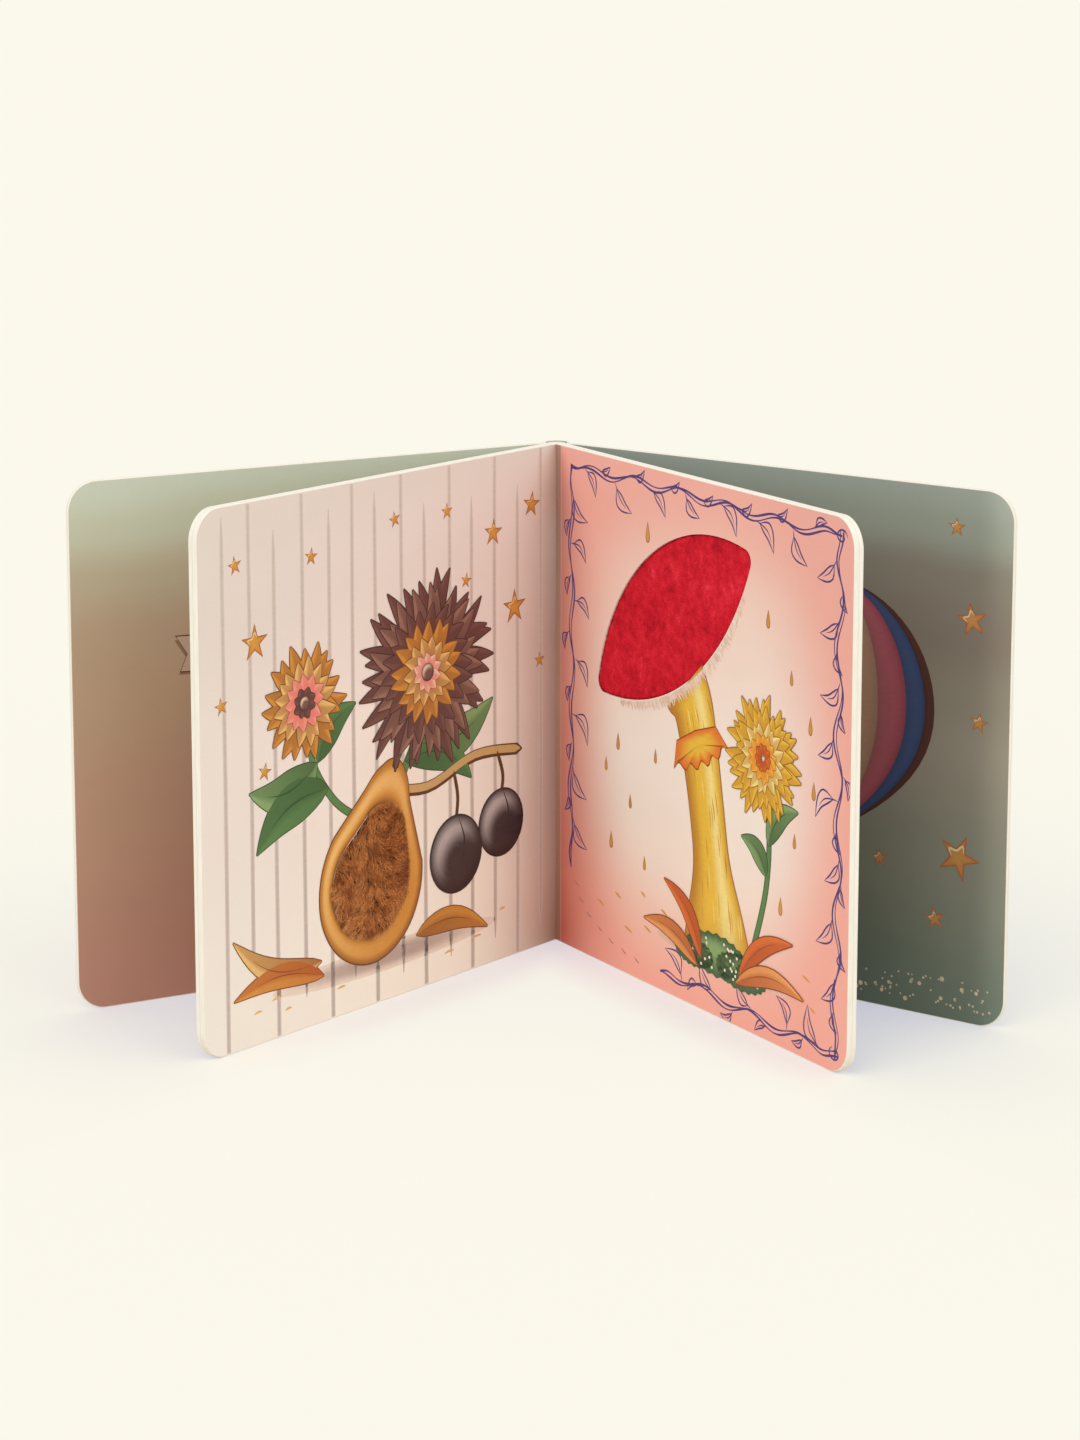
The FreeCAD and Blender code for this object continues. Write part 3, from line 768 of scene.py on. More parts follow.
def surround(art, hole, middle, reach, colours, lift):
    """A painted band between a window and an outline given as a reach by direction."""
    rows, inks = [], []
    turns = [turn for turn, _ in reach]
    full = turns + [turns[0] + 360]
    values = [value for _, value in reach] + [reach[0][1]]

    def outer(turn):
        turn = (turn - turns[0]) % 360 + turns[0]
        for index in range(len(values) - 1):
            if full[index] <= turn <= full[index + 1]:
                share = (turn - full[index]) / (full[index + 1] - full[index])
                p0, p1, p2, p3 = (values[(index + k) % (len(values) - 1)] for k in (-1, 0, 1, 2))
                return 0.5 * (
                    2 * p1 + (p2 - p0) * share + (2 * p0 - 5 * p1 + 4 * p2 - p3) * share**2
                    + (3 * p1 - p0 - 3 * p2 + p3) * share**3
                )
        return values[0]

    for x, y in hole + hole[:1]:
        turn = math.atan2(y - middle[1], x - middle[0])
        far = outer(math.degrees(turn))
        end = (middle[0] + far * math.cos(turn), middle[1] + far * math.sin(turn))
        row = []
        for column in range(8):
            share = column / 7
            row.append((x + (end[0] - x) * share, y + (end[1] - y) * share))
            inks.append(colours(share, turn))
        rows.append(row[::-1])
    shuffled = []
    for k in range(len(rows)):
        shuffled += inks[k * 8:(k + 1) * 8][::-1]
    art.solid(rows, shuffled, lift, False)


def pear(art, lift):
    """A ripe brown pear whose furry cheek shows through the window."""
    middle = (BELLY["x"] + 2, 44.0)
    reach = [
        (-180, 25), (-150, 27.5), (-120, 29.5), (-90, 30), (-60, 28), (-30, 25), (0, 23),
        (30, 22.5), (48, 26), (62, 33), (72, 36), (82, 33.5), (100, 26.5), (125, 23.5), (150, 23.5),
    ]

    def colours(share, turn):
        facing = 0.5 + 0.5 * math.cos(turn - math.radians(130))
        colour = mix(TAN, TAN_LIGHT, facing * smooth(0.2, 0.5, share) * (1 - smooth(0.6, 0.9, share)))
        colour = mix(colour, TAN_DARK, smooth(0.7, 1.0, share) * (1 - 0.5 * facing))
        # Painted shade: the band darkens at the window's edge, where the fur meets the page.
        return mix(TAN_DARK, colour, smooth(0.0, 0.25, share))

    surround(art, egg(-0.35), middle, [(t, r + 0.5) for t, r in reach], lambda s_, t_: shade(TAN_DARK, 0.6), lift)
    surround(art, egg(-0.35), middle, reach, colours, lift + 1)


def left_page_art():
    art = Print("left_page_picture", "left_page", ink_matt, "page_board")
    soft = [(84 + 54 * math.cos(t / 20 * math.pi), 14.5 + 4.6 * math.sin(t / 20 * math.pi)) for t in range(40)]
    paper, gloom = srgb(241, 223, 208), srgb(190, 166, 156)
    art.blob(soft, (84, 14.5), lambda share, turn: mix(gloom, paper, smooth(0.35, 1.0, share)), 1, 6)
    # stems and leaves
    for points, width in (
        ([(48, 100), (50, 84), (60, 70), (72, 62)], 2.2),
        ([(104, 104), (101, 88), (94, 76), (88, 66)], 2.8),
    ):
        art.line(points, width + 0.6, shade(GREEN_DARK, 0.7), 2, 0.05)
        art.line(points, width, GREEN, 3, 0.05)
    leaves = (
        ((52, 84), (21, 80), 13, 0.16, GREEN_DARK, GREEN_LIGHT),
        ((57, 75), (24, 60), 14, -0.14, GREEN_DARK, GREEN),
        ((97, 82), (137, 90), 14, -0.15, GREEN_DARK, GREEN_LIGHT),
        ((93, 77), (126, 65), 12, 0.16, GREEN_DARK, GREEN),
        ((52, 84), (70, 100), 10, 0.15, GREEN_DARK, GREEN),
        ((53, 20), (13, 35), 8, 0.14, TAN_DARK, TAN_LIGHT),
        ((54, 15), (13, 16), 8, -0.10, RUST, TAN),
        ((98, 18), (134, 13), 8, 0.12, TAN_DARK, TAN),
    )
    for order, (base, tip, width, bend, dark, light) in enumerate(leaves):
        level = 4 + 0.5 * order
        art.leaf(base, tip, width, bend, dark, light, level, shade(dark, 0.75), shade(dark, 0.6))
    # twig with two plums
    art.line([(82, 70), (104, 66), (128, 72), (152, 70)], 4.0, BARK_DARK, 6, 0.06)
    art.line([(83, 70.3), (104, 66.4), (128, 72.4), (151, 70.3)], 2.6, BARK_LIGHT, 7, 0.06)
    art.line([(117, 69), (119, 60), (118, 52)], 1.5, BARK_DARK, 8, 0.2)
    art.line([(139, 71.5), (142, 63), (141, 56)], 1.5, BARK_DARK, 8, 0.2)
    pear(art, 8)
    art.line([(88, 75), (90, 82), (88, 90)], 3.2, BARK_DARK, 10, 0.1)
    art.line([(88, 76), (90, 82), (88.2, 89)], 1.8, BARK, 11, 0.1)
    bloom(art, 104, 104, [
        (30, 33, 6.4, MAUVE_DARK, MAUVE), (26, 28, 6.4, MAUVE_DARK, MAUVE_LIGHT),
        (22, 22.5, 6.2, MAUVE_DARK, MAUVE), (18, 17, 5.6, TAN_DARK, TAN),
        (14, 12, 4.8, TAN_DARK, TAN_LIGHT), (10, 7, 3.6, CORAL, CREAM),
    ], 12, 5)
    bloom(art, 46, 104, [
        (20, 19, 5.6, TAN_DARK, TAN), (16, 14.5, 5.0, TAN_DARK, TAN_LIGHT),
        (12, 9.5, 4.2, CORAL, srgb(240, 160, 140)), (8, 5.2, 3.0, MAUVE_DARK, MAUVE),
    ], 12, 8)
    for x, y, radius in ((104, 104, 3.0), (46, 104, 2.2)):
        art.ball(x, y, radius, MAUVE_DARK, MAUVE, CREAM, 40)
    chance = random.Random(3)
    for x, y in ((22, 10), (30, 12.5), (60, 9), (112, 8.5), (126, 10.5), (140, 17), (36, 8)):
        long = chance.uniform(3, 6)
        art.line([(x, y), (x + long / 2, y + 0.5), (x + long, y + 0.3)], 0.8, mix(GOLD, CREAM, 0.3), 2, 0.4, 3)
    art.build()

    gloss = Print("left_page_plums", "left_page", ink_gloss, "page_board")
    for x, y, radius in ((118, 41, 12.8), (141, 47, 11.2)):
        gloss.ball(x, y, radius + 0.4, PLUM_DARK, PLUM_DARK, PLUM_DARK, 9)
        gloss.ball(x, y, radius, PLUM_DARK, PLUM, mix(PLUM, PLUM_LIGHT, 0.75), 10)
        crease = [(x + 0.1 * radius, y + radius * 0.95), (x + 0.34 * radius, y + 0.3 * radius)]
        crease.append((x + 0.2 * radius, y - 0.4 * radius))
        gloss.line(crease, 0.7, PLUM_DARK, 11, 0.5, 5)
    gloss.build()


def cap_rim(share, below):
    """A point along the lower edge of the velvet window and a way below it."""
    half = 42.0
    x = -half + 2 * half * share
    reach = CAP["rim"] + below
    turn = math.asin(x / CAP["rim"])
    return cap_turned((reach * math.sin(turn), CAP["rim"] - CAP["drop"] - reach * math.cos(turn)))


def right_page_art():
    art = Print("right_page_picture", "right_page", ink_matt, "page_board")
    chance = random.Random(11)
    centre_paper, gloom = srgb(240, 196, 178), srgb(205, 140, 122)
    soft = [(104 + 40 * math.cos(t / 20 * math.pi), 19 + 4 * math.sin(t / 20 * math.pi)) for t in range(40)]
    art.blob(soft, (104, 19), lambda share, turn: mix(gloom, centre_paper, smooth(0.3, 1.0, share)), 1, 6)
    # stem and leaves of the yellow flower
    stem = [(121, 90), (127, 70), (126, 48), (118, 24)]
    art.line(stem, 2.8, shade(GREEN_DARK, 0.7), 2, 0.05)
    art.line(stem, 2.0, GREEN, 3, 0.05)
    for base, tip, width, bend in (((127, 62), (143, 76), 8, 0.18), ((126, 52), (112, 62), 7, -0.18)):
        art.leaf(base, tip, width, bend, GREEN_DARK, GREEN_LIGHT, 4, shade(GREEN_DARK, 0.7), shade(GREEN_DARK, 0.6))

    # the toadstool's stalk
    path = curve([cap_rim(0.46, 0.6), cap_rim(0.47, 9.5), (90, 77), (94, 58), (97, 40), (99, 22)], 10)

    def stalk_width(extra):
        return lambda t: extra + 22 + 4 * (1 - t) ** 3 - 3 * math.sin(math.pi * t) + 15 * smooth(0.6, 1.0, t) ** 1.4

    def stalk_colour(t, across):
        colour = mix(YELLOW, OCHRE, smooth(0.25, 1.0, across * -1))
        colour = mix(colour, YELLOW_LIGHT, smooth(0.0, 0.45, across) * (1 - smooth(0.45, 0.8, across)))
        colour = mix(colour, OCHRE, 0.7 * smooth(0.75, 1.0, across))
        return mix(colour, OCHRE, 0.75 * (1 - smooth(0.0, 0.16, t)) + 0.4 * smooth(0.85, 1.0, t))

    art.strip(path, stalk_width(0.9), lambda t, across: shade(OCHRE, 0.55), 5, 3)
    art.strip(path, stalk_width(0.0), stalk_colour, 6, 13)
    for k in range(46):
        at = chance.uniform(0.12, 0.9)
        side = chance.uniform(-0.85, 0.85)
        spot = path[int(at * (len(path) - 1))]
        ahead = path[min(int(at * (len(path) - 1)) + 4, len(path) - 1)]
        reach = stalk_width(0)(at) / 2 * side
        shift = (reach, 0.3 * reach)
        ends = [(spot[0] + shift[0], spot[1] + shift[1]), (ahead[0] + shift[0] * 1.03, ahead[1] + shift[1])]
        middle = tuple((a + b) / 2 + 0.15 for a, b in zip(*ends))
        tone = OCHRE if chance.random() < 0.6 else YELLOW_LIGHT
        art.line([ends[0], middle, ends[1]], chance.uniform(0.35, 0.7), mix(tone, YELLOW, 0.3), 7, 0.5, 3)

    # its frilled skirt
    def skirt(grow):
        points = []
        for k in range(25):
            share = k / 24
            x = -16.5 + 33 * share
            points.append((x * (1 + 0.03 * grow), -8.5 - grow * 0.5 - 1.3 * math.cos(share * 10 * math.pi) + 0.012 * x * x))
        points += [(12, 1 + grow * 0.4), (0, 2 + grow * 0.4), (-12, 1 + grow * 0.4)]
        tilt = math.radians(22)
        return [(86.5 + x * math.cos(tilt) - y * math.sin(tilt), 88 + x * math.sin(tilt) + y * math.cos(tilt)) for x, y in points]

    art.shape(skirt(1), shade(RUST, 0.75), 9)
    art.blob(skirt(0), (88.0, 86), lambda share, turn: mix(YELLOW, ORANGE, smooth(0.3, 1.0, share)), 10)

    # gills that show below the velvet
    for order in (0, 1):
        for k in range(92):
            share = (k + chance.uniform(0.1, 0.9)) / 92
            deep = (4.6 - order * 1.4) * chance.uniform(0.75, 1.1) * (0.45 + 0.55 * math.sin(math.pi * share) ** 0.6)
            wave = chance.uniform(-0.008, 0.008)
            points = [cap_rim(share, 0.55), cap_rim(share + wave, 0.55 + deep / 2), cap_rim(share + wave * 2, deep)]
            tone = mix(PALE_CREAM, srgb(225, 170, 150), chance.uniform(0.0, 0.75))
            art.strip(points, lambda t: 0.9 * (1 - 0.75 * t), lambda t, across, tone=tone: tone, 11 + order + 0.01 * k, 2)

    # moss with pale dots, fallen leaves and the yellow flower
    for x, y, wide, tall in ((99, 20, 17, 6.5), (113, 18, 14, 5.5), (86, 18, 11, 4.5)):
        outline = [
            (x + wide * math.cos(2 * math.pi * k / 44) * (1 + 0.05 * (k % 2)),
             y + tall * math.sin(2 * math.pi * k / 44) * (1 + 0.14 * (k % 2)))
            for k in range(44)
        ]
        art.blob(outline, (x - 2, y + 2), lambda share, turn: mix(GREEN_LIGHT, GREEN_DARK, smooth(0.1, 1.0, share)), 13)
        for _ in range(16):
            turn, out = chance.uniform(0, 2 * math.pi), math.sqrt(chance.random()) * 0.78
            dot_x, dot_y = x + wide * out * math.cos(turn), y + tall * out * math.sin(turn)
            art.shape([(dot_x + 0.55 * math.cos(k), dot_y + 0.55 * math.sin(k)) for k in range(6)], PALE_CREAM, 15)
    leaves = (
        ((90, 17), (68, 38), 6.5, -0.14, RUST, ORANGE), ((88, 14), (56, 22), 6.5, -0.12, RUST, ORANGE_LIGHT),
        ((112, 17), (141, 34), 6.5, 0.12, RUST, ORANGE), ((110, 14), (147, 18), 6.5, 0.12, RUST, ORANGE_LIGHT),
    )
    for order, (base, tip, width, bend, dark, light) in enumerate(leaves):
        art.leaf(base, tip, width, bend, dark, light, 16 + 3 * order, shade(dark, 0.8), shade(dark, 0.6))
    bloom(art, 124, 89, [
        (28, 20.5, 4.8, OCHRE, YELLOW), (24, 16.5, 4.8, OCHRE, YELLOW), (18, 12, 4.4, OCHRE, YELLOW_LIGHT),
        (14, 8, 3.8, ORANGE, YELLOW), (10, 4.6, 2.6, RUST, ORANGE),
    ], 20, 21)
    for x, y in ((27, 21), (44, 16), (56, 19), (66, 27), (146, 26), (150, 17), (38, 26), (128, 33), (54, 30)):
        long = chance.uniform(2.5, 5)
        art.line([(x, y), (x + long / 2, y - 0.6), (x + long, y - 1.4)], 0.9, mix(GOLD, ORANGE, 0.25), 1, 0.4, 3)
    art.build()


def vine():
    """The violet pen border: two strands that part and meet, with curved leaves."""
    art = Print("right_page_vine", "right_page", ink_matt, "page_board")
    chance = random.Random(7)

    def run(start, end, wave, inner):
        length = math.hypot(end[0] - start[0], end[1] - start[1])
        ahead = ((end[0] - start[0]) / length, (end[1] - start[1]) / length)
        aside = (-ahead[1] * inner, ahead[0] * inner)
        phase = chance.uniform(0, 6)

        def at(along, off):
            return (start[0] + ahead[0] * along + aside[0] * off, start[1] + ahead[1] * along + aside[1] * off)

        def sway(along):
            ends = min(1.0, along / 8, (length - along) / 8)
            wander = 0.5 * math.sin(along / 21 + phase)
            return ends * (wave * math.sin(along / 27 * 2 * math.pi + phase) + wander)

        for order, hand in enumerate((1, -1)):
            points, along = [], 0.0
            while along < length:
                apart = 0.78 * math.sin(along / 9.5 + phase * 1.3)
                points.append(at(along, sway(along) + hand * apart * min(1.0, (length - along) / 5)))
                along += 2.2
            points.append(end)
            press = chance.uniform(0, 6)
            art.strip(
                curve(points, 2), lambda t, press=press: 0.60 + 0.2 * math.sin(t * 40 + press),
                lambda t, across: VIOLET, 1 + order, 2,
            )
        along, hand = 9.0, 1
        while along < length - 9:
            reach = chance.uniform(10.5, 14.0) if hand > 0 else chance.uniform(6.6, 7.8)
            lean = math.radians(chance.uniform(38, 64) if hand > 0 else chance.uniform(16, 24)) * hand * inner
            root = at(along, sway(along) + 0.7 * hand)
            way = math.atan2(ahead[1], ahead[0]) + lean
            hook = chance.uniform(0.12, 0.26) * reach * (1 if chance.random() < 0.6 else -1) * hand
            plump = reach * 0.16
            full = 1 if hook > 0 else -1

            def leaf_at(t, off, root=root, way=way, reach=reach, hook=hook):
                side = off + hook * math.sin(math.pi * t)
                return (
                    root[0] + math.cos(way) * reach * t - math.sin(way) * side,
                    root[1] + math.sin(way) * reach * t + math.cos(way) * side,
                )

            for side, swell in ((full, 1.25), (-full, 0.75)):
                bow = [leaf_at(0.14, 0), leaf_at(0.38, side * swell * plump), leaf_at(0.68, side * swell * plump * 0.8)]
                art.line(bow + [leaf_at(1.0, 0)], 0.58, VIOLET, 3.5 + side * 0.5, 0.3, 4)
            art.line([leaf_at(0, 0), leaf_at(0.14, 0), leaf_at(0.45, 0.1), leaf_at(0.75, 0)], 0.45, VIOLET, 3, 0.4, 4)
            along += chance.uniform(8.0, 11.0)
            hand = -hand

    run((9.5, 164.0), (163.5, 164.2), 1.3, -1)
    run((163.5, 165.5), (163.5, 4), 1.9, -1)
    run((165, 6.2), (66, 6.4), 1.4, -1)
    run((10.2, 164.5), (10.2, 28), 1.2, 1)
    for x, y, start in ((163.5, 164, 0), (163.5, 6, 2)):
        loop = []
        for k in range(9):
            fade = 1 - 0.07 * k
            loop.append((x + 3.0 * math.cos(start + 0.8 * k) * fade, y + 2.4 * math.sin(start + 0.8 * k) * fade))
        art.line(loop, 0.6, VIOLET, 5, 0.2, 4)
    faint = mix(VIOLET, srgb(238, 160, 140), 0.55)
    for x, y in ((12, 24), (15, 19), (20, 15), (27, 12), (34, 9.5), (42, 8), (50, 7)):
        art.line([(x, y), (x + 1.6, y - 1.0), (x + 3.4, y - 1.4)], 0.55, faint, 1, 0.4, 3)
    art.build()


def ribbon():
    """A blank paper ribbon across the inside of the front cover."""
    art = Print("front_cover_ribbon", "front_cover_inside", ink_matt, "cover_board")
    edge, body, pale, fold = srgb(92, 62, 50), srgb(200, 172, 150), srgb(222, 198, 174), srgb(140, 108, 88)
    for side in (-1, 1):
        tail = [(85 + side * (x - 85), y) for x, y in ((52, 106), (37, 106.5), (39.4, 112), (35.6, 117.8), (52, 117.4))]
        dark = [(x - 0.6, y - 1.1) for x, y in tail]
        art.shape(dark, srgb(150, 116, 92), 1)
        middle = (sum(x for x, _ in tail) / 5, sum(y for _, y in tail) / 5)
        art.shape([(middle[0] + (x - middle[0]) * 1.06, middle[1] + (y - middle[1]) * 1.07) for x, y in tail], edge, 2)
        art.shape(tail, body, 3)
        art.shape([(85 + side * (x - 85), y) for x, y in ((52, 106), (47, 109.5), (52, 111))], fold, 4)
    line = [(46 + 78 * k / 24, 115.5 + 2.6 * math.sin(math.pi * k / 24)) for k in range(25)]
    art.strip(line, lambda t: 12.8, lambda t, across: edge, 5, 2)
    art.strip(line, lambda t: 12.0, lambda t, across: mix(body, pale, 0.5 + 0.5 * math.sin(6 * t + 1) * (1 - abs(across))), 6, 7)
    art.build()


def balloon():
    """A striped balloon with a wicker basket inside the back cover."""
    art = Print("back_cover_balloon", "back_cover_inside", ink_matt, "cover_board")
    brown, tan, blue, pink = srgb(84, 48, 42), srgb(176, 128, 104), srgb(62, 78, 118), srgb(168, 74, 92)
    x0, y0, radius = 103.0, 98.0, 39.0

    def half_width(y):
        up = (y - y0) / radius
        if up >= 0:
            return radius * math.sqrt(max(0.0, 1 - up * up))
        return radius * max(0.0, 1 - 0.55 * up * up - 0.18 * abs(up) ** 3) if up > -1.25 else 0.0

    low = y0 - 1.22 * radius
    heights = [low + (y0 + radius - low) * (1 - math.cos(math.pi * k / 30)) / 2 for k in range(31)]
    art.shape([(x0 + half_width(y) * 1.02 + 0.3, y) for y in heights] + [(x0 - half_width(y) * 1.02 - 0.3, y) for y in heights[::-1]], brown, 1)
    gores = 9
    for gore in range(gores):
        a, b = (math.pi * (gore + k) / gores for k in (0, 1))
        colour = (brown, blue, pink, tan)[gore % 4]
        rows, inks = [], []
        for y in heights:
            row = []
            for column in range(5):
                turn = a + (b - a) * column / 4
                row.append((x0 + half_width(y) * math.cos(turn), y))
                lit = smooth(0.55, 1.0, 0.5 + 0.5 * math.cos(turn - 2.0)) * 0.15
                inks.append(mix(shade(colour, 0.7 + 0.3 * math.sin(math.pi * column / 4)), CREAM, lit))
            rows.append(row)
        art.solid(rows[::-1], [inks[(30 - r) * 5 + c] for r in range(31) for c in range(5)], 2 + 0.1 * gore, False)
    for side in (-1, -0.35, 0.35, 1):
        art.line([(x0 + 13 * side, low + 4), (x0 + 10.5 * side, 42)], 0.9, brown, 4, 0.02)
    basket = [(x0 - 12, 43), (x0 - 9.5, 27), (x0 + 9.5, 27), (x0 + 12, 43)]
    art.shape([(x0 + (x - x0) * 1.07, 35 + (y - 35) * 1.09) for x, y in basket], brown, 3)
    art.shape(basket, srgb(120, 78, 50), 4)
    for k in range(5):
        y = 29.5 + 3 * k
        art.line([(x0 - 9.6 - 0.14 * (y - 27), y), (x0, y + 0.3), (x0 + 9.6 + 0.14 * (y - 27), y)], 0.9, brown, 5, 0.02)
    art.strip([(x0 - 13, 43.5), (x0, 43), (x0 + 13, 43.5)], lambda t: 3.0, lambda t, across: mix(tan, brown, 0.3 - 0.3 * across), 6, 5)
    art.build()


def dots():
    """A scatter of pale gold dots along the foot of the back cover."""
    art = Print("back_cover_dots", "back_cover_inside", ink_gold, "cover_board")
    chance = random.Random(17)
    pale = srgb(205, 190, 150)
    for k in range(230):
        x, y = chance.uniform(9, 166), 4 + 9 * chance.random()
        size = chance.uniform(0.6, 0.85) if k % 7 == 0 else chance.uniform(0.27, 0.45)
        art.shape([(x + size * math.cos(j * math.pi / 4), y + size * math.sin(j * math.pi / 4)) for j in range(8)], mix(pale, CREAM, chance.random() * 0.5), 1)
    art.build()


left_page_art()
right_page_art()
vine()
ribbon()
balloon()
dots()


# Fabric behind the windows
def inside(point, outline):
    """How far a point is inside a closed outline, or less than nothing outside."""
    x, y = point
    within, nearest = False, 1e9
    for (ax, ay), (bx, by) in zip(outline, outline[1:] + outline[:1]):
        if (ay > y) != (by > y) and x < ax + (y - ay) * (bx - ax) / (by - ay):
            within = not within
        dx, dy = bx - ax, by - ay
        share = min(1.0, max(0.0, ((x - ax) * dx + (y - ay) * dy) / (dx * dx + dy * dy or 1.0)))
        nearest = min(nearest, math.hypot(x - ax - dx * share, y - ay - dy * share))
    return nearest if within else -nearest


def cushion(outline, centre, rings, height, underside):
    """A closed mound over an outline. height takes a point and its depth from the rim."""
    count = len(outline)
    vertices, faces = [], []
    for ring in range(rings):
        share = 1 - (ring / rings) ** 1.0
        for x, y in outline:
            px, py = centre[0] + (x - centre[0]) * share, centre[1] + (y - centre[1]) * share
            depth = math.hypot(x - px, y - py)
            vertices.append((px, py, height((px, py), depth)))
    vertices.append((centre[0], centre[1], height(centre, 99.0)))
    foot = len(vertices)
    vertices += [(x, y, underside) for x, y in outline]
    for k in range(count):
        after = (k + 1) % count
        for ring in range(rings - 1):
            a = ring * count
            faces.append((a + k, a + after, a + count + after, a + count + k))
        faces.append(((rings - 1) * count + k, (rings - 1) * count + after, rings * count))
        faces.append((k, foot + k, foot + after, after))
    faces.append(tuple(foot + k for k in range(count - 1, -1, -1)))
    return vertices, faces


def hair(points, radius):
    """A closed strand of three sides that tapers to a tip."""
    vertices, faces = [], []
    last = len(points) - 1
    for index in range(last):
        ahead = (points[index + 1] - points[max(index - 1, 0)]).normalized()
        side = ahead.cross(Vector((0.3, 0.2, 1.0))).normalized()
        over = ahead.cross(side)
        size = radius * (1 - 0.55 * index / last)
        for k in range(3):
            turn = 2 * math.pi * k / 3
            vertices.append(points[index] + (side * math.cos(turn) + over * math.sin(turn)) * size)
    vertices.append(points[last])
    for index in range(last - 1):
        for k in range(3):
            a, b = index * 3 + k, index * 3 + (k + 1) % 3
            faces.append((a, b, b + 3, a + 3))
    top = (last - 1) * 3
    faces += [(top + k, top + (k + 1) % 3, top + 3) for k in range(3)] + [(2, 1, 0)]
    return vertices, faces


def gather(name, parts, material, inks=None):
    """One mesh from many closed pieces."""
    vertices, faces, colours = [], [], []
    for index, (points, sides) in enumerate(parts):
        start = len(vertices)
        vertices += [tuple(p) for p in points]
        faces += [tuple(start + i for i in side) for side in sides]
        if inks:
            colours += inks[index]
    mesh = bpy.data.meshes.new(name)
    mesh.from_pydata([(x * MM, y * MM, z * MM) for x, y, z in vertices], [], faces)
    if inks:
        ink = mesh.attributes.new("ink", "FLOAT_COLOR", "POINT")
        ink.data.foreach_set("color", [c for colour in colours for c in colour])
    mesh.materials.append(material)
    return mesh


FUR_DARK, FUR, FUR_GOLD = srgb(104, 54, 20), srgb(218, 136, 70), srgb(255, 220, 160)


def fur_material():
    paint = Paint("brown_fur")
    colour = paint.node("ShaderNodeAttribute", attribute_name="ink").outputs["Color"]
    patches = paint.noise(paint.place(), 170.0, 3.0)
    level = paint.ramp(patches, [(0.34, (0.56, 0.46, 0.40, 1)), (0.58, (1.0, 1.0, 1.0, 1))])
    colour = paint.blend(1.0, colour, level, "MULTIPLY")
    return paint.finish(
        colour, 0.55, Specular_IOR_Level=0.25, Sheen_Weight=0.25, Sheen_Roughness=0.4,
        Sheen_Tint=srgb(230, 180, 130),
    )


def fur():
    chance = random.Random(29)
    material = fur_material()
    outline = egg(0.05, 120)
    middle = (BELLY["x"] + 2.0, BELLY["y"] + 3.0)
    low = -WINDOW_DEPTH
    crown = low + FUR_HEIGHT - 1.6

    def ground_height(point, depth):
        return low + 1.6 + (crown - low - 1.6) * smooth(0.0, 2.5, depth) + 0.1 * noise.noise(Vector((*point, 0)) * 0.8)

    parts = [cushion(outline, middle, 14, ground_height, low)]
    inks = [[FUR_DARK] * len(parts[0][0])]

    def flow(x, y):
        swirl = 3.6 * noise.noise(Vector((x * 0.065, y * 0.065, 3.1)))
        curl = 1.2 * noise.noise(Vector((x * 0.22, y * 0.22, 7.7)))
        return math.radians(-80) + swirl + curl

    tufts = []
    while len(tufts) < 340:
        spot = (chance.uniform(55, 100), chance.uniform(20, 68))
        if inside(spot, outline) > 0.2:
            tufts.append((spot, chance.uniform(0.0, 1.0), chance.uniform(-0.3, 0.3)))

    made = 0
    while made < FUR_STRANDS:
        x, y = chance.uniform(55, 100), chance.uniform(20, 68)
        at_rim = made % 3 == 0
        if at_rim:
            rim_x, rim_y = chance.choice(outline)
            inward = Vector((middle[0] - rim_x, middle[1] - rim_y)).normalized() * chance.uniform(0.2, 1.0)
            x, y = rim_x + inward.x, rim_y + inward.y
        depth = inside((x, y), outline)
        if depth < 0.15:
            continue
        made += 1
        near = min(tufts, key=lambda tuft: (tuft[0][0] - x) ** 2 + (tuft[0][1] - y) ** 2)
        (tuft_x, tuft_y), tone, turn = near
        angle = flow(tuft_x, tuft_y) + turn + chance.gauss(0, 0.2)
        length = chance.uniform(3.6, 7.0)
        if at_rim:
            angle = math.atan2(-inward.y, -inward.x) + chance.gauss(0, 0.7)
            tuft_x, tuft_y, length = x, y, chance.uniform(1.0, 2.1)
        root = ground_height((x, y), depth) - 0.1
        rise = 0.55 + 0.85 * smooth(0.0, 3.0, depth) + 0.35 * chance.random()
        way = Vector((math.cos(angle), math.sin(angle), 0))
        tip_x = x + (tuft_x - x) * 0.3 + way.x * length * 0.85 + chance.gauss(0, 0.3)
        tip_y = y + (tuft_y - y) * 0.3 + way.y * length * 0.85 + chance.gauss(0, 0.3)
        bow = Vector((-way.y, way.x, 0)) * chance.gauss(0.0, 0.16) * length
        start, end = Vector((x, y, root)), Vector((tip_x, tip_y, root + rise * 0.8 + 0.25))
        over = inside((tip_x, tip_y), outline)
        if over < -1.4:
            end = start + (end - start) * max(0.3, 1 + (over + 1.4) / length)
        if over < 0.5:
            end.z = max(end.z, 0.35 + 0.3 * chance.random())
        points = [
            start,
            start.lerp(end, 0.28) + bow * 0.7 + Vector((0, 0, rise * 0.62)),
            start.lerp(end, 0.65) - bow * 0.5 + Vector((0, 0, rise * 0.5)),
            end,
        ]
        parts.append(hair(points, chance.uniform(0.08, 0.13) if at_rim else chance.uniform(0.10, 0.21)))
        light = min(1.0, max(0.0, 0.38 + 0.3 * tone + chance.gauss(0, 0.38)))
        shaft, end_tone = mix(FUR_DARK, FUR, 0.35 + 0.65 * light), mix(FUR, FUR_GOLD, light)
        inks.append([FUR_DARK] * 3 + [mix(FUR_DARK, shaft, 0.75)] * 3 + [shaft] * 3 + [end_tone])
    piece = stand("fur", gather("fur", parts, material, inks), "left_page", "brown_fur")
    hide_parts("fur_patch")


FUR_STRANDS = 7500
VELVET_HAIRS = 5200


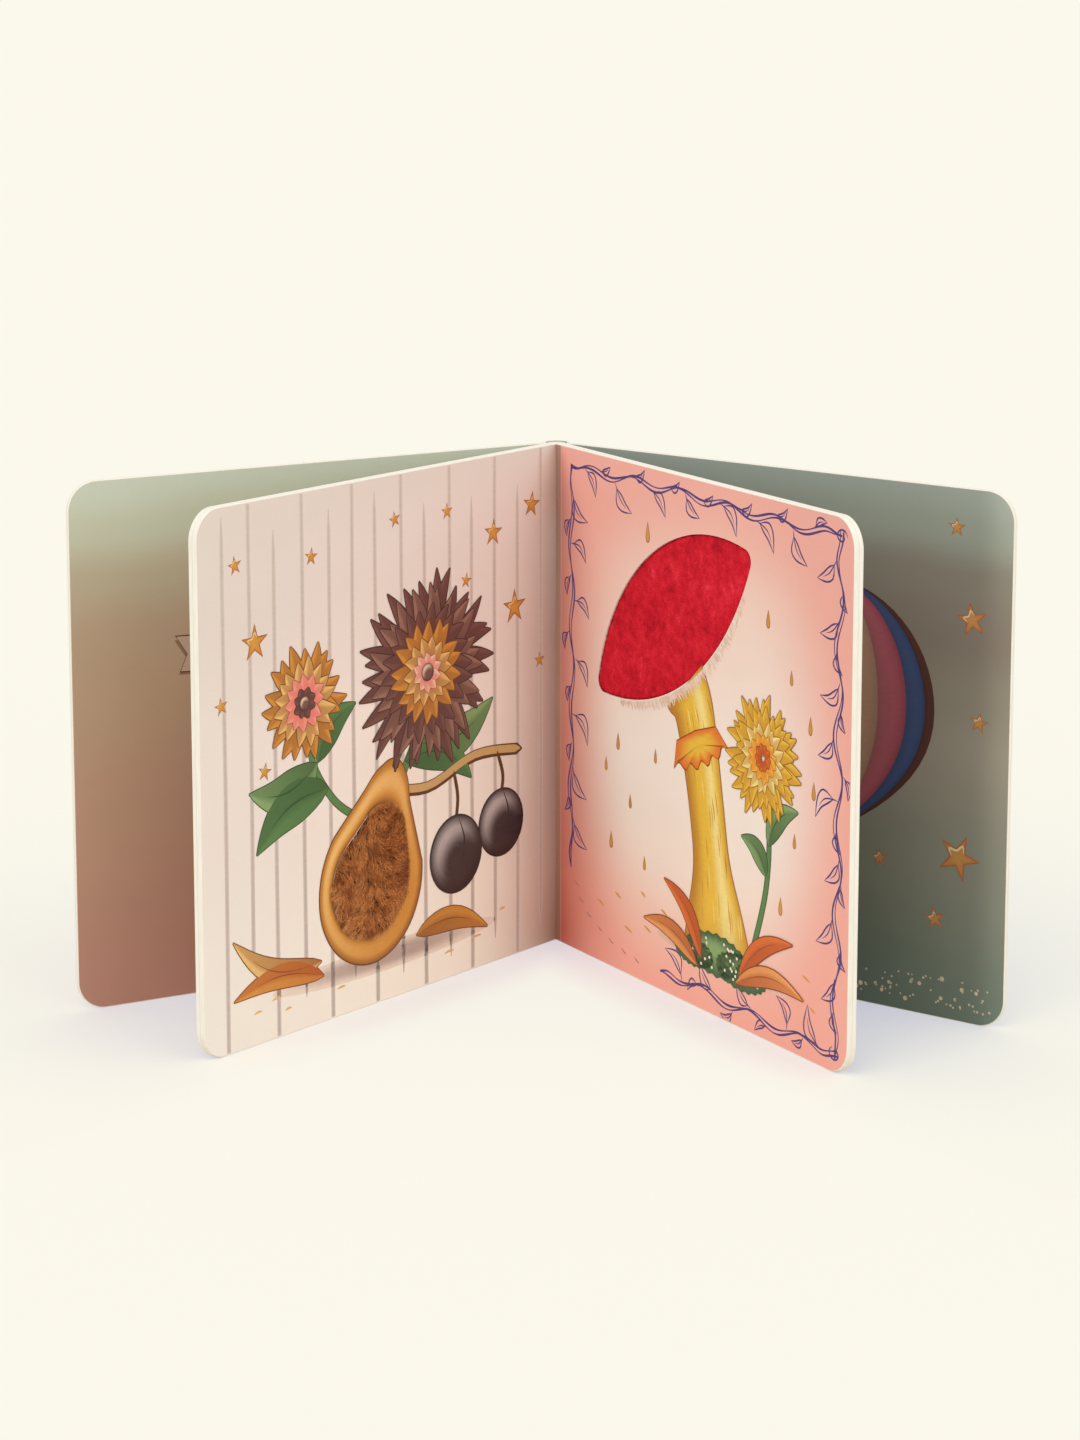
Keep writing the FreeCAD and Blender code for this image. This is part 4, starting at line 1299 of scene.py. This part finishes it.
def velvet_material():
    paint = Paint("red_velvet")
    where = paint.place()
    blotches = paint.noise(where, 330.0, 5.0, 0.7)
    broad = paint.noise(where, 70.0, 3.0, 0.6)
    specks = paint.math("MULTIPLY", paint.math("SUBTRACT", paint.noise(where, 1700.0, 2.0, 0.6), 0.5), 0.30)
    share = paint.math("ADD", paint.math("MULTIPLY", blotches, 0.55), paint.math("MULTIPLY", broad, 0.45))
    colour = paint.ramp(paint.math("ADD", share, specks), [
        (0.34, srgb(158, 12, 30)), (0.46, srgb(202, 20, 42)), (0.57, srgb(222, 34, 54)), (0.70, srgb(236, 64, 80)),
    ])
    pile = paint.noise(where, 2600.0, 3.0, 0.7)
    paint.bump(paint.math("ADD", pile, paint.math("MULTIPLY", blotches, 2.0)), 0.00012, 0.6)
    return paint.finish(
        colour, 0.9, Specular_IOR_Level=0.1, Sheen_Weight=0.35, Sheen_Roughness=0.45,
        Sheen_Tint=srgb(255, 90, 90),
    )


def velvet():
    chance = random.Random(41)
    material = velvet_material()
    outline = cap(0.06, 240)
    middle = cap_turned((0, 6))
    low = -WINDOW_DEPTH
    crown = low + VELVET_HEIGHT

    def height(point, depth):
        nap = 0.10 * noise.noise(Vector((*point, 0)) * 1.3) + 0.07 * noise.noise(Vector((*point, 5)) * 3.1)
        return crown - 0.3 * (1 - smooth(0.0, 0.7, depth)) + nap * smooth(0.0, 0.8, depth)

    parts = [cushion(outline, middle, 60, height, low)]
    count = len(outline)
    for _ in range(VELVET_HAIRS):
        k = chance.randrange(count)
        share = chance.random()
        near, after = outline[k], outline[(k + 1) % count]
        x, y = near[0] + (after[0] - near[0]) * share, near[1] + (after[1] - near[1]) * share
        inward = Vector((middle[0] - x, middle[1] - y, 0)).normalized()
        start = Vector((x, y, crown - 0.25)) + inward * chance.uniform(0.1, 0.9)
        lean = Vector((chance.uniform(-0.5, 0.5), chance.uniform(-0.5, 0.5), 1.0)) - inward * 0.35
        end = start + lean.normalized() * chance.uniform(0.4, 0.75)
        parts.append(hair([start, start.lerp(end, 0.5), end], 0.05))
    piece = stand("velvet", gather("velvet", parts, material), "right_page", "red_velvet")
    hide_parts("velvet_patch")
    for polygon in piece.data.polygons:
        polygon.use_smooth = True


fur()
velvet()

# Studio: a pale floor, an even white sky and a soft key light
PALE = srgb(251, 249, 236)
FLOOR_SHADOWED = (0.56, 0.52, 0.26, 1)
FLOOR_GLOW = (0.374, 0.396, 0.560, 1)
# In the wedge between the front leaves the floor glows more and takes less shade: painted light that fills the shade
# there.
FRONT_SHADOWED = (0.190, 0.170, 0.090, 1)
FRONT_GLOW = (0.765, 0.767, 0.744, 1)


def seen_directly(tree):
    """1 for what the camera sees, also in a mirror or through glass, and 0 for the rest."""
    path = tree.nodes.new("ShaderNodeLightPath")
    share = path.outputs["Is Camera Ray"]
    for kind in ("Is Glossy Ray", "Is Transmission Ray"):
        either = tree.nodes.new("ShaderNodeMath")
        either.operation = "MAXIMUM"
        tree.links.new(share, either.inputs[0])
        tree.links.new(path.outputs[kind], either.inputs[1])
        share = either.outputs[0]
    return share


def studio():
    floor_mesh = bpy.data.meshes.new("floor")
    half = 30.0
    floor_mesh.from_pydata([(-half, -half, 0), (half, -half, 0), (half, half, 0), (-half, half, 0)], [], [(0, 1, 2, 3)])
    floor = bpy.data.objects.new("floor", floor_mesh)
    bpy.context.scene.collection.objects.link(floor)
    paint = Paint("pale_floor")
    seen = seen_directly(paint.tree)
    where = paint.place()
    # A mask for the wedge in front of the two leaves, where the floor's shade is filled with painted light.
    apart = [
        paint.node("ShaderNodeVectorMath", {0: where, 1: tuple(-normal)}, operation="DOT_PRODUCT").outputs["Value"]
        for normal in (left_back, right_back)
    ]
    between = paint.node(
        "ShaderNodeMapRange", {0: paint.math("MINIMUM", *apart), 1: 0.004, 2: 0.028}, interpolation_type="SMOOTHSTEP"
    ).outputs[0]
    grey = paint.blend(seen, shade(PALE, 0.9), paint.blend(between, FLOOR_SHADOWED, FRONT_SHADOWED))
    glow = paint.blend(seen, (0, 0, 0, 1), paint.blend(between, FLOOR_GLOW, FRONT_GLOW))
    paint.feed(paint.shader.inputs["Emission Color"], glow)
    floor_mesh.materials.append(paint.finish(grey, 0.95, Specular_IOR_Level=0.0, Emission_Strength=1.0))

    world = bpy.data.worlds.new("studio")
    bpy.context.scene.world = world
    world.use_nodes = True
    tree = world.node_tree
    background = tree.nodes["Background"]
    choose = tree.nodes.new("ShaderNodeMix")
    choose.data_type = "RGBA"
    tree.links.new(seen_directly(tree), choose.inputs[0])
    choose.inputs[6].default_value = (SKY, SKY, SKY, 1)
    choose.inputs[7].default_value = PALE
    tree.links.new(choose.outputs[2], background.inputs["Color"])

    for name, strength, spread, direction in LAMPS:
        light = bpy.data.lights.new(name, "SUN")
        light.energy, light.angle = strength, math.radians(spread)
        lamp = bpy.data.objects.new(name, light)
        bpy.context.scene.collection.objects.link(lamp)
        lamp.rotation_mode = "QUATERNION"
        lamp.rotation_quaternion = Vector(direction).to_track_quat("-Z", "Y")


SKY = 0.76
LAMPS = [
    ("key", 0.9, 50.0, (0.35, 0.75, -0.95)),
    ("fill", 0.45, 60.0, (-0.8, 0.5, -0.7)),
]
studio()

# Camera, from the leaves' corners in the photograph
PHOTO_HIGH = 1440.0
FOCAL_PIXELS = 3670.0
PRINCIPAL_ROW = 533.0
CAMERA_PLACE = Vector((-0.0053, -1.199, 0.355))
CAMERA_PITCH = 10.17
SENSOR = 36.0
camera_data = bpy.data.cameras.new("camera")
camera_data.sensor_width = SENSOR
camera_data.lens = FOCAL_PIXELS * SENSOR / PHOTO_HIGH
camera_data.shift_y = (PRINCIPAL_ROW - PHOTO_HIGH / 2) / PHOTO_HIGH
camera = bpy.data.objects.new("camera", camera_data)
bpy.context.scene.collection.objects.link(camera)
camera.location = CAMERA_PLACE
camera.rotation_euler = (math.radians(90 - CAMERA_PITCH), 0, 0)
bpy.context.scene.camera = camera

bpy.context.scene.view_settings.view_transform = "Standard"
